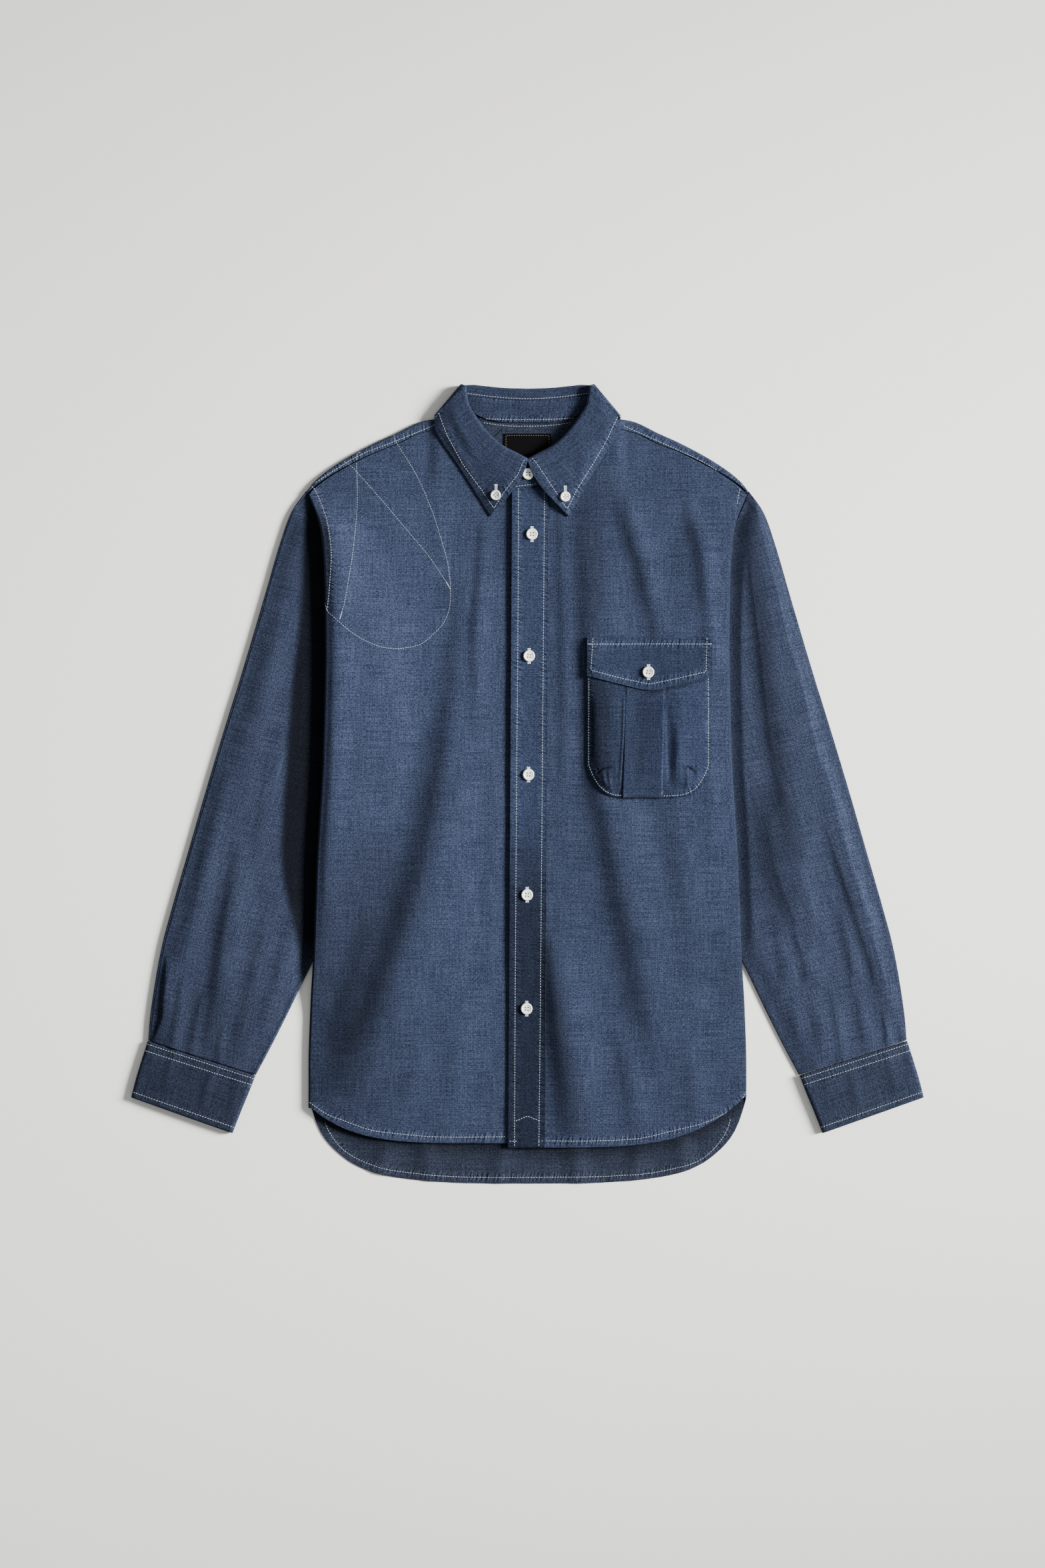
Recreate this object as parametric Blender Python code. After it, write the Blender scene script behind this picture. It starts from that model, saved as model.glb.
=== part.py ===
"""A chambray work shirt laid flat on its back, in millimetres scaled to metres.

+X is the image right (the wearer's left), +Y points to the collar, +Z is up.
The body is a flattened tube: the back and the yoke lie below, the two fronts lie on them, and the
sleeves run out from the shoulders with their inner edges tucked under the body's sides.
"""
import math
from collections import namedtuple

import bpy
from mathutils import Vector
from mathutils.bvhtree import BVHTree

for stale in list(bpy.data.objects):
    bpy.data.objects.remove(stale, do_unlink=True)

MM = 0.001
SEAM = 0.3             # gap between sewn pieces
WALL = 1.2             # body cloth
CUFF_WALL = 2.0        # two layers with interlining
COLLAR_WALL = 1.5
TRIM_WALL = 1.2        # placket, pocket and flap

BODY_HEIGHT = 3.8      # back and front together at the middle
CHEST_SWELL = 1.0      # more height over the chest
SIDE_SWELL = 1.4       # more height along the side folds
TUCK_LIFT = 6.3        # rise of the body over the tucked sleeve
TUCK_SLOPE = 58.0      # width of that rise
TUCK_TOP, TUCK_TOP_RUN = 295.0, 50.0
TUCK_FOOT, TUCK_FOOT_RUN = -235.0, 60.0
NECK_LIFT = 1.8        # rise of the yoke over the collar leaf beneath it
NECK_HALF, NECK_FOOT = 88.0, 312.0
NECK_RUN, FRONT_NECK_RUN = 12.0, 40.0

YOKE_SEAM = 250.0      # back yoke seam, above the origin
YOKE_RADIUS = 2.4      # fold over the shoulder
WRAP_RUN = 11.0        # width over which the fold starts beside the neck
YOKE_GAP = 1.0         # between the yoke's front strip and the fronts
PLACKET_TOP, PLACKET_FOOT = 293.8, -360.3
PLACKET_WIDTH = 36.5
PLACKET_LEFT_TOP, PLACKET_LEFT_FOOT = -15.5, -19.5

# Side fold and armhole of the body: half width at each height.
Side = namedtuple("Side", "y half")
BODY_SIDE = (
    Side(-335, 217), Side(-280, 217), Side(-217, 215), Side(-175, 212.3), Side(-76, 208.4),
    Side(28, 202.4), Side(142, 200.0), Side(203, 200.8), Side(245, 203.7), Side(260, 207.0),
    Side(274, 212.3), Side(289, 219.0),
)

# Inner edge of the sleeves, hidden under the body down to the foot of the tuck.
Tuck = namedtuple("Tuck", "y half")
SLEEVE_INNER = (
    Tuck(-202, 225), Tuck(-161, 206.6), Tuck(-105, 190.7), Tuck(-43, 177.5), Tuck(17, 168.3),
    Tuck(73, 162.4), Tuck(141, 162.4), Tuck(162, 169), Tuck(183, 178), Tuck(216, 190),
    Tuck(251, 201), Tuck(289, 219),
)

# Shoulder fold of the yoke and the width of its strip on the front.
Shoulder = namedtuple("Shoulder", "half y strip")
SHOULDER = (
    Shoulder(70.5, 369.5, 9), Shoulder(88, 362, 10), Shoulder(104, 359, 11), Shoulder(130, 347, 10.5),
    Shoulder(152, 337, 9), Shoulder(188, 317, 7), Shoulder(211, 299.5, 5), Shoulder(219, 289.5, 2.5),
)
# Neckline of the yoke at the back and of the fronts.
Neck = namedtuple("Neck", "half y")
BACK_NECK = (Neck(0, 356), Neck(22, 356.5), Neck(44, 360), Neck(56, 363.5), Neck(70.5, 369.5))
FRONT_NECK = (Neck(9, 296), Neck(14, 296), Neck(30, 302), Neck(44, 314), Neck(56, 330), Neck(64, 346),
              Neck(70, 358))

# Hem of each front: height at the middle, rise at the side and sharpness of the curve.
Hem = namedtuple("Hem", "middle rise power")
HEM_RIGHT = Hem(-356.2, 35.0, 5.2)
HEM_LEFT = Hem(-360.5, 50.0, 4.2)
Tail = namedtuple("Tail", "share y")
BACK_HEM = (
    Tail(0, -396.4), Tail(0.27, -396.0), Tail(0.45, -394.0), Tail(0.59, -390.8), Tail(0.70, -386.0),
    Tail(0.80, -377.5), Tail(0.88, -365.0), Tail(0.94, -351.0), Tail(0.975, -337.0), Tail(1.0, -324.0),
)

# Broad folds of the fronts and of the sleeves: a line, its width and its height.
Fold = namedtuple("Fold", "x0 y0 x1 y1 width height")
BODY_FOLDS = (
    Fold(-70, 215, -88, 20, 16, -0.7), Fold(-60, -30, -74, -230, 18, -0.6),
    Fold(-150, 60, -160, -150, 20, 0.7), Fold(-120, -120, -128, -300, 18, 0.5),
    Fold(60, -60, 52, -300, 20, -0.6), Fold(150, -60, 158, -270, 20, 0.6),
    Fold(105, -120, 100, -320, 18, 0.5), Fold(40, 250, 44, 160, 16, 0.5),
)
SLEEVE_FOLDS = (
    Fold(240, 190, 300, -60, 18, -0.8), Fold(285, 60, 330, -150, 16, 0.6),
    Fold(222, 60, 232, -120, 16, -1.4), Fold(300, -120, 330, -240, 12, -0.8),
    Fold(352, -208, 374, -302, 5, 0.9), Fold(343, -212, 365, -302, 5, -1.1),
    Fold(337, -200, 356, -310, 5, 0.6),
)

# One sleeve: outer and inner edge of each section, and its height.
Section = namedtuple("Section", "outer_x outer_y inner_x inner_y height")
SLEEVE = (
    Section(219.6, 287.6, 169.0, 162.0, 4.0), Section(231.4, 269.0, 165.0, 152.0, 4.8),
    Section(245.2, 234.6, 162.4, 141.0, 5.4), Section(257.6, 195.0, 160.4, 126.0, 5.4),
    Section(269.5, 155.4, 159.7, 109.0, 5.4), Section(283.3, 109.2, 162.4, 73.0, 5.4),
    Section(301.8, 49.8, 168.3, 17.0, 5.4), Section(319.6, -9.6, 177.5, -43.0, 5.4),
    Section(336.8, -69.0, 190.7, -105.0, 5.4), Section(352.0, -121.8, 206.6, -161.0, 5.4),
    Section(362.5, -161.4, 225.1, -201.6, 5.4), Section(369.8, -201.0, 240.4, -233.3, 5.4),
    Section(374.6, -236.0, 257.0, -266.0, 5.2), Section(375.9, -254.2, 269.2, -288.6, 5.0),
)
THINNEST = 3.0         # least height of a flattened tube at a trough
CUFF = (
    Section(376.3, -254.8, 269.4, -289.2, 6.2), Section(382.5, -274.0, 277.0, -308.5, 6.4),
    Section(388.0, -292.0, 285.0, -328.0, 6.4), Section(392.8, -310.5, 292.2, -346.2, 6.2),
)

# The collar, half by half from the middle of the back to the front edge. The roll is the line that
# the leaf folds over, the edge is the leaf's free edge and the base is the stand's sewn edge. The
# pair lies at a radius from the side bend's axis, and thick is the height of the folded pair. Turn is
# the pair's angle round that axis, bow the curve of the leaf's front edge in plan and ease the extra
# room at the seam of leaf and stand.
Collar = namedtuple("Collar", "roll_x roll_y edge_x edge_y base_x base_y radius thick turn bow ease")
BEND_Z = 6.0
BEND_OUT = Vector((0.757, 0.653, 0))
COLLAR_BACK = (
    Collar(0, 389.3, 0, 331.5, 0, 357.5, 3.6, 4.8, -90, 0, 0),
    Collar(22, 389.6, 32, 333.5, 22, 358, 3.6, 4.8, -90, 0, 0),
    Collar(44, 390.6, 62, 341, 42, 361.5, 3.6, 4.8, -90, 0, 0),
    Collar(55, 391.3, 77, 350.5, 54, 367, 3.6, 4.8, -90, 0, 0),
)
COLLAR_BEND = tuple(
    Collar(62.5, 391.5, 88, 360.4, 67, 374, 3.6, 4.8, turn, 0, 6.5) for turn in (-90, -50, -17, 17, 50, 90)
)
COLLAR_FRONT = (
    Collar(60.5, 376.0, 92.0, 352.0, 69.0, 359.0, 3.8, 5.2, 90, 0, 6.5),
    Collar(52.0, 360.5, 85.0, 338.6, 67.0, 343.5, 3.8, 5.4, 90, 0, 4),
    Collar(38.5, 343.5, 71.0, 318.0, 59.0, 327.0, 3.9, 5.6, 90, 0, 2),
    Collar(25.5, 332.0, 58.6, 298.0, 46.0, 311.5, 3.9, 6.0, 90, 0, 1),
    Collar(12.5, 325.0, 48.0, 280.0, 31.0, 300.5, 3.6, 6.4, 90, 1.5, 1),
    Collar(1.2, 320.0, 38.5, 264.5, 14.0, 294.8, 3.6, 6.8, 90, 4.0, 1),
)
STAND_DEPTH = 9.8      # from the roll down to the seam of leaf and stand
# Overlapping ends of the stand: the lower and the upper one, past the middle.
Lap = namedtuple("Lap", "roll_x base_x base_y")
LAP_UNDER, LAP_OVER = Lap(-3.0, 7.0, 294.8), Lap(-12.4, -13.8, 294.8)
LAP_DEPTH = 26.0       # from the roll down to the base at these ends
STAND_STEP = 1.9       # rise of the upper end over the lower one
LEAF_FALL = 2.6        # how late the leaf comes down to the fronts

POCKET_LEFT, POCKET_RIGHT = 58.6, 181.0
POCKET_TOP, POCKET_FOOT, POCKET_ROUND = 131.0, -14.2, 48.0
PLEAT_LEFT, PLEAT_RIGHT, PLEAT_RISE = 97.0, 134.5, 1.3
POCKET_EASE = 0.3      # fullness of the pocket over the curved front
FLAP_LEFT, FLAP_RIGHT = 58.6, 182.6
FLAP_TOP, FLAP_SIDE, FLAP_POINT = 144.9, 106.4, 90.8

PATCH_HALF, PATCH_TOP, PATCH_FOOT, PATCH_CLIP = 34.0, 351.5, 313.0, 9.0
LABEL_HALF, LABEL_TOP, LABEL_FOOT = 23.4, 346.8, 314.0
LABEL_WALL = 1.0

# Sewn buttons: place, diameter and the piece that each one lies on.
Button = namedtuple("Button", "name x y diameter carrier")
BUTTONS = (
    Button("button_neck", 0.6, 306.4, 11.4, "collar_stand"),
    Button("button_front_1", 4.6, 246.8, 11.4, "placket"),
    Button("button_front_2", 2.0, 126.2, 11.4, "placket"),
    Button("button_front_3", 1.2, 8.8, 11.4, "placket"),
    Button("button_front_4", 0.0, -110.0, 11.4, "placket"),
    Button("button_front_5", -0.8, -222.8, 11.4, "placket"),
    Button("button_flap", 119.6, 110.3, 11.4, "pocket_flap"),
    Button("button_collar_right", -31.4, 285.4, 10.0, "collar_leaf"),
    Button("button_collar_left", 37.6, 283.8, 10.0, "collar_leaf"),
)
# Turned outline of a button: share of its radius and height above its underside.
BUTTON_OUTLINE = ((0.88, 0.0), (1.0, 0.7), (1.0, 1.6), (0.84, 2.3), (0.56, 1.6))
BUTTON_SIDES = 14

# Heights of the panels' rows, the same for fronts and back where they lie side by side. The rows
# above and below bend towards the panel's own edges.
LEVELS = (-218, -188, -158, -120, -60, 0, 60, 120, 165, 200, 222, 240)
FRONT_TOP_LEVELS = (254, 266, 278, 289, 300)
FRONT_HEM_LEVELS = (-360, -348, -312, -262)
BACK_HEM_LEVELS = (-397, -384, -350, -308, -262)
HEM_BEND, TOP_BEND = -218, 200
SIDE_ARC = (30, 60, 80)     # degrees of the roll at a side fold


def smooth(share):
    share = min(max(share, 0.0), 1.0)
    return share * share * (3 - 2 * share)


def read(table, column, key):
    """Value of a column at a key of the table's first column, on a smooth curve."""
    keys = [row[0] for row in table]
    values = [getattr(row, column) for row in table]
    key = min(max(key, keys[0]), keys[-1])
    index = 0
    while index < len(keys) - 2 and key > keys[index + 1]:
        index += 1
    slopes = [(values[i + 1] - values[i]) / (keys[i + 1] - keys[i]) for i in range(len(keys) - 1)]

    def tangent(i):
        if i == 0 or i == len(keys) - 1:
            return slopes[min(i, len(slopes) - 1)]
        before, after = slopes[i - 1], slopes[i]
        if before * after <= 0:
            return 0.0
        return 2 * before * after / (before + after)

    span = keys[index + 1] - keys[index]
    t = (key - keys[index]) / span
    start, end = values[index], values[index + 1]
    rise = (2 * t**3 - 3 * t**2 + 1) * start + (3 * t**2 - 2 * t**3) * end
    return rise + span * ((t**3 - 2 * t**2 + t) * tangent(index) + (t**3 - t**2) * tangent(index + 1))


def fold_height(table, x, y):
    """Sum of the folds' soft ridges and troughs at a point."""
    total = 0.0
    for fold in table:
        run_x, run_y = fold.x1 - fold.x0, fold.y1 - fold.y0
        length = math.hypot(run_x, run_y)
        along = ((x - fold.x0) * run_x + (y - fold.y0) * run_y) / length**2
        across = ((x - fold.x0) * run_y - (y - fold.y0) * run_x) / length
        if 0 < along < 1:
            total += fold.height * math.sin(math.pi * along) * math.exp(-(across / fold.width) ** 2)
    return total


def lift(x, y, neck_run=NECK_RUN):
    """Height of the body's underside over the tucked sleeves and the collar leaf."""
    inner = read(SLEEVE_INNER, "half", y)
    beside = smooth((abs(x) - inner + TUCK_SLOPE) / TUCK_SLOPE)
    ends = smooth((TUCK_TOP - y) / TUCK_TOP_RUN) * smooth((y - TUCK_FOOT) / TUCK_FOOT_RUN)
    neck = smooth((NECK_HALF + NECK_RUN - abs(x)) / NECK_RUN) * smooth((y - NECK_FOOT + neck_run) / neck_run)
    return TUCK_LIFT * beside * ends + NECK_LIFT * neck


def height(x, y):
    """Thickness of the laid body, back and front together."""
    chest = CHEST_SWELL * smooth((y - 60) / 160)
    side = SIDE_SWELL * smooth((abs(x) - 40) / 130) * (1 - smooth((y - 240) / 45))
    return BODY_HEIGHT + chest + side


def front_top(x, y):
    return lift(x, y, FRONT_NECK_RUN) + height(x, y) + fold_height(BODY_FOLDS, x, y)


def linear(value):
    share = value / 255
    return share / 12.92 if share <= 0.04045 else ((share + 0.055) / 1.055) ** 2.4


def material(name, red, green, blue, roughness):
    made = bpy.data.materials.new(name)
    made.use_nodes = True
    shader = made.node_tree.nodes["Principled BSDF"]
    shader.inputs["Base Color"].default_value = (linear(red), linear(green), linear(blue), 1)
    shader.inputs["Roughness"].default_value = roughness
    shader.inputs["Metallic"].default_value = 0.0
    return made


def add_object(name, points, faces, paint):
    mesh = bpy.data.meshes.new(name)
    mesh.from_pydata([tuple(MM * value for value in point) for point in points], [], faces)
    mesh.materials.append(paint)
    made = bpy.data.objects.new(name, mesh)
    bpy.context.scene.collection.objects.link(made)
    return made


def sheet(name, rows, wall, paint, closed=False, flip=False):
    """Cloth wall through rows of outer points; closed rows make a tube with open ends."""
    count = len(rows[0])
    points = [point for row in rows for point in row]
    faces = []
    for i in range(len(rows) - 1):
        for j in range(count if closed else count - 1):
            after = (j + 1) % count
            face = (i * count + j, i * count + after, (i + 1) * count + after, (i + 1) * count + j)
            faces.append(face[::-1] if flip else face)
    made = add_object(name, points, faces, paint)
    solid = made.modifiers.new("wall", "SOLIDIFY")
    solid.thickness = wall * MM
    solid.offset = -1
    made.data.shade_smooth()
    made.data.set_sharp_from_angle(angle=math.radians(50))
    return made


def panel_rows(levels, columns, hem, top, bottom_side):
    """Rows of a body panel between its hem and its top edge, rolled at the outer columns.

    A column is a pair: its share of the half width and its degrees on the roll of a side fold.
    """
    rows = []
    for level in levels:
        row = []
        for across, degrees in columns:
            to_hem = smooth((HEM_BEND - level) / (HEM_BEND - levels[0]))
            to_top = smooth((level - TOP_BEND) / (levels[-1] - TOP_BEND))
            y = level + (hem(abs(across)) - levels[0]) * to_hem + (top(abs(across)) - levels[-1]) * to_top
            half = read(BODY_SIDE, "half", y)
            side = math.copysign(1, across)
            radius = height(half, y) / 2
            inset = half - radius
            if degrees == 0:
                x = across * inset
                z = lift(x, y) if bottom_side else front_top(x, y)
            else:
                angle = math.radians(degrees)
                x = side * (inset + radius * math.sin(angle))
                middle = lift(side * inset, y) + radius
                z = middle + radius * math.cos(angle) * (-1 if bottom_side else 1)
            row.append((x, y, z))
        rows.append(row)
    return rows


def front_edge(across):
    """Upper edge of a front: its neckline, then the yoke seam out to the armhole."""
    half = across * BODY_SIDE[-1].half
    if half < FRONT_NECK[-1].half:
        return read(FRONT_NECK, "y", half)
    return read(SHOULDER, "y", half) - read(SHOULDER, "strip", half) - YOKE_GAP


def front_hem(values):
    def edge(across):
        return values.middle + values.rise * across**values.power
    return edge


def build_front(name, side, start, hem, paint):
    shares = (0, 0.09, 0.18, 0.25, 0.31, 0.40, 0.48, 0.55, 0.62, 0.69, 0.76, 0.83, 0.89, 0.945, 1.0)
    flat = [(side * (start + (1 - start) * share), 0) for share in shares]
    columns = flat + [(side, degrees) for degrees in SIDE_ARC]
    levels = FRONT_HEM_LEVELS + LEVELS + FRONT_TOP_LEVELS
    rows = panel_rows(levels, columns, front_hem(hem), front_edge, False)
    return sheet(name, rows, WALL, paint, flip=side < 0)


def build_back(paint):
    shares = (0.2, 0.42, 0.56, 0.66, 0.75, 0.83, 0.9, 1.0)
    half = [(share, 0) for share in shares] + [(1.0, degrees) for degrees in SIDE_ARC]
    columns = [(-share, degrees) for share, degrees in half[::-1]] + [(0.0, 0)] + half
    levels = BACK_HEM_LEVELS + LEVELS + (YOKE_SEAM - SEAM,)
    rows = panel_rows(levels, columns, lambda across: read(BACK_HEM, "y", across),
                      lambda across: YOKE_SEAM - SEAM, True)
    return sheet("back", rows, WALL, paint, flip=True)


def fold_over(across, along):
    """Point of the yoke's flat pattern, bent forward over the shoulder fold."""
    tip = BODY_SIDE[-1]
    x = across * (read(BODY_SIDE, "half", along) / tip.half if along < tip.y else 1.0)
    crest = read(SHOULDER, "y", abs(across)) - YOKE_RADIUS
    under = lift(x, min(along, crest))
    past = along - crest
    if past <= 0:
        return (x, along, under)
    angle = min(past / YOKE_RADIUS, math.pi)
    y = crest + YOKE_RADIUS * math.sin(angle) - max(past - math.pi * YOKE_RADIUS, 0)
    return (x, y, under + YOKE_RADIUS * (1 - math.cos(angle)))


def build_yoke(paint):
    halves = (11, 24, 36, 48, 58, 65, 68.5, 71, 73.5, 76, 79, 84, 94, 106, 124, 144, 164, 184, 202, 212,
              218.4)
    columns = [-half for half in halves[::-1]] + [0] + list(halves)
    flat_shares = (0, 0.3, 0.56, 0.7, 0.86)
    closing = (15, 12, 9.5, 7, 4.5, 2.2, 0)
    rows = [[] for _ in range(len(flat_shares) + len(closing))]
    for x in columns:
        half = abs(x)
        if half < SHOULDER[0].half:
            end = read(BACK_NECK, "y", half)
        else:
            crest = read(SHOULDER, "y", half) - YOKE_RADIUS
            wrap = math.pi * YOKE_RADIUS + read(SHOULDER, "strip", half) - YOKE_RADIUS
            end = crest + wrap * smooth((half - SHOULDER[0].half + 2) / WRAP_RUN)
        flat_end = end - closing[0]
        alongs = [YOKE_SEAM + (flat_end - YOKE_SEAM) * share for share in flat_shares]
        alongs += [end - step for step in closing]
        for row, along in zip(rows, alongs):
            row.append(fold_over(x, along))
    return sheet("yoke", rows, WALL, paint, flip=True)


def collar_point(row, target_x, target_y, depth, offset, side):
    """Point at a depth from the roll towards a target, at an offset from the pair's middle."""
    roll = Vector((row.roll_x, row.roll_y, 0))
    direction = (Vector((target_x, target_y, 0)) - roll).normalized()
    turn = math.radians(row.turn)
    out = BEND_OUT * math.cos(turn) + Vector((0, 0, math.sin(turn)))
    point = roll + direction * depth + out * (row.radius + offset)
    sideways = Vector((-direction.y, direction.x, 0))
    share = depth / max((Vector((target_x, target_y, 0)) - roll).length, 1)
    point -= sideways * row.bow * 4 * share * (1 - share) if 0 < share < 1 else Vector()
    return (side * point.x, point.y, BEND_Z + point.z)


def leaf_section(row, side):
    """Leaf from its seam with the stand, round the roll and down to its free edge."""
    half = row.thick / 2
    width = math.hypot(row.edge_x - row.roll_x, row.edge_y - row.roll_y)
    points = []
    start = STAND_DEPTH - SEAM - row.ease
    for depth in (start, start / 2, 0.0):
        points.append(collar_point(row, row.base_x, row.base_y, depth, -half, side))
    for degrees in (45, 90, 135):
        angle = math.radians(degrees)
        depth = -half * math.sin(angle)
        points.append(collar_point(row, row.edge_x, row.edge_y, depth, -half * math.cos(angle), side))
    landing = front_top(row.edge_x, row.edge_y) + SEAM + COLLAR_WALL - BEND_Z - row.radius
    fall = max(half - landing, 0) * max(math.sin(math.radians(row.turn)), 0) ** 2
    for share in (0.0, 0.2, 0.42, 0.62, 0.82, 1.0):
        drop = fall * share**LEAF_FALL
        points.append(collar_point(row, row.edge_x, row.edge_y, width * share, half - drop, side))
    return points


def stand_section(row, side, raise_by):
    half = row.thick / 2
    length = math.hypot(row.base_x - row.roll_x, row.base_y - row.roll_y)
    points = []
    for share in (0.0, 0.35, 0.7, 1.0):
        depth = STAND_DEPTH + (length - STAND_DEPTH) * share
        x, y, z = collar_point(row, row.base_x, row.base_y, depth, -half, side)
        points.append((x, y, z + raise_by))
    return points


def collar_stations():
    half = COLLAR_BACK + COLLAR_BEND + COLLAR_FRONT
    left = [(row, -1) for row in half[::-1]]
    right = [(row, 1) for row in half[1:]]
    return left + right


def build_leaf(paint):
    rows = [leaf_section(row, side) for row, side in collar_stations()]
    return sheet("collar_leaf", rows, COLLAR_WALL, paint, flip=True)


def build_stand(paint):
    """Stand from its under end at the image left, round the neck, to its upper end."""
    stations = collar_stations()
    count = len(stations)
    rows = []
    for index, (row, side) in enumerate(stations):
        toward_end = smooth((index - (count - 5)) / 3)
        rows.append(stand_section(row, side, STAND_STEP * toward_end))
    last = COLLAR_FRONT[-1]
    for lap, side, raise_by, place in ((LAP_UNDER, -1, 0, 0), (LAP_OVER, 1, STAND_STEP, count + 1)):
        end = last._replace(roll_y=lap.base_y + LAP_DEPTH, **lap._asdict())
        rows.insert(place, stand_section(end, side, raise_by))
    return sheet("collar_stand", rows, COLLAR_WALL, paint)


def tube_ring(section, folds, side):
    """Closed ring of a flattened tube: over the top from the outer edge and back below."""
    outer = Vector((section.outer_x, section.outer_y))
    inner = Vector((section.inner_x, section.inner_y))
    length = (inner - outer).length
    direction = (inner - outer) / length
    radius = section.height / 2
    ring = []

    def place(along, z):
        point = outer + direction * along
        ring.append((side * point.x, point.y, z))

    for share in (0, 0.05, 0.1, 0.15, 0.22, 0.36, 0.5, 0.64, 0.78, 0.9, 1):
        along = radius + (length - 2 * radius) * share
        point = outer + direction * along
        crease = fold_height(folds, point.x, point.y) * smooth(share / 0.08) * smooth((1 - share) / 0.15)
        place(along, section.height + max(crease, THINNEST - section.height))
    for degrees in (45, 90, 135):
        angle = math.radians(degrees)
        place(length - radius + radius * math.sin(angle), radius + radius * math.cos(angle))
    for share in (1, 0.66, 0.33, 0):
        place(radius + (length - 2 * radius) * share, 0.0)
    for degrees in (135, 90, 45):
        angle = math.radians(degrees)
        place(radius - radius * math.sin(angle), radius + radius * math.cos(angle))
    return ring


def build_tube(name, table, folds, wall, side, paint):
    rings = [tube_ring(section, folds, side) for section in table]
    return sheet(name, rings, wall, paint, closed=True, flip=side < 0)


def placket_left(y):
    share = (PLACKET_TOP - y) / (PLACKET_TOP - PLACKET_FOOT)
    return PLACKET_LEFT_TOP + (PLACKET_LEFT_FOOT - PLACKET_LEFT_TOP) * share


def build_placket(paint):
    rows = []
    for y in (PLACKET_FOOT,) + FRONT_HEM_LEVELS[1:] + LEVELS + FRONT_TOP_LEVELS[:3] + (PLACKET_TOP,):
        xs = [placket_left(y) + PLACKET_WIDTH * across for across in (0, 0.33, 0.67, 1)]
        rows.append([(x, y, front_top(x, y) + SEAM + TRIM_WALL) for x in xs])
    return sheet("placket", rows, TRIM_WALL, paint)


def pocket_rise(x, spread):
    """Height of the pocket over the front: the box pleat between two steps."""
    left = smooth((x - PLEAT_LEFT + spread) / spread)
    right = smooth((PLEAT_RIGHT + spread - x) / spread)
    return SEAM + TRIM_WALL + PLEAT_RISE * left * right


def build_pocket(paint):
    middle = (POCKET_LEFT + POCKET_RIGHT) / 2
    half = (POCKET_RIGHT - POCKET_LEFT) / 2
    step = 1.4
    columns = (POCKET_LEFT, POCKET_LEFT + 6, POCKET_LEFT + 18, PLEAT_LEFT - step, PLEAT_LEFT, middle,
               PLEAT_RIGHT, PLEAT_RIGHT + step, POCKET_RIGHT - 32, POCKET_RIGHT - 18, POCKET_RIGHT - 6,
               POCKET_RIGHT)
    rows = []
    for share in (0, 0.15, 0.35, 0.55, 0.75, 1.0):
        row = []
        for x in columns:
            across = abs(x - middle) / half
            foot = POCKET_FOOT + POCKET_ROUND * across**5
            y = foot + (POCKET_TOP - foot) * share
            row.append((x, y, front_top(x, y) + POCKET_EASE + pocket_rise(x, step)))
        rows.append(row)
    return sheet("pocket", rows, TRIM_WALL, paint)


def build_flap(paint):
    middle = (FLAP_LEFT + FLAP_RIGHT) / 2
    half = (FLAP_RIGHT - FLAP_LEFT) / 2
    rows = []
    for share in (0, 0.3, 0.6, 0.8, 1.0):
        row = []
        for across in (-1, -0.75, -0.5, -0.25, -0.08, 0.08, 0.25, 0.5, 0.75, 1):
            x = middle + half * across
            foot = FLAP_POINT + (FLAP_SIDE - FLAP_POINT) * math.sqrt(across**2 + 0.01)
            y = foot + (FLAP_TOP - foot) * share
            over = smooth((FLAP_TOP - y) / 11)
            rise = SEAM + TRIM_WALL + (pocket_rise(x, 14) + 2 * POCKET_EASE) * over
            row.append((x, y, front_top(x, y) + rise))
        rows.append(row)
    return sheet("pocket_flap", rows, TRIM_WALL, paint)


def build_label(name, half, top, foot, clip, layer, paint):
    """Flat piece on the inside of the yoke, with clipped upper corners where clip is set."""
    rows = []
    shares = (0, 0.5, 1.0) if clip == 0 else (0, 0.4, 1 - clip / (top - foot), 1.0)
    for share in shares:
        y = foot + (top - foot) * share
        reach = half - (clip if clip and share == 1.0 else 0)
        row = []
        for across in (-1, -0.5, 0, 0.5, 1):
            x = reach * across
            row.append((x, y, lift(x, y) + WALL + layer * (SEAM + LABEL_WALL) + 0.1))
        rows.append(row)
    return sheet(name, rows, LABEL_WALL, paint)


def seat(carrier, x, y, reach):
    """Height and slope of a carrier's upper face under a disc."""
    mesh = carrier.data
    tree = BVHTree.FromPolygons([vertex.co.copy() for vertex in mesh.vertices],
                                [tuple(polygon.vertices) for polygon in mesh.polygons])
    sky = 0.1

    def top(px, py):
        hit = tree.ray_cast(Vector((px * MM, py * MM, sky)), Vector((0, 0, -1)))[0]
        return None if hit is None else hit.z / MM

    ring = [(reach * math.cos(math.radians(a)), reach * math.sin(math.radians(a))) for a in range(0, 360, 45)]
    samples = [(dx, dy, top(x + dx, y + dy)) for dx, dy in ring + [(0, 0)]]
    samples = [sample for sample in samples if sample[2] is not None]
    middle = top(x, y)
    steep = 2 / (len(samples) * reach**2)
    slope_x = steep * sum(dx * (z - middle) for dx, dy, z in samples)
    slope_y = steep * sum(dy * (z - middle) for dx, dy, z in samples)
    above = max(z - middle - slope_x * dx - slope_y * dy for dx, dy, z in samples)
    return middle + above, Vector((-slope_x, -slope_y, 1)).normalized()


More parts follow.
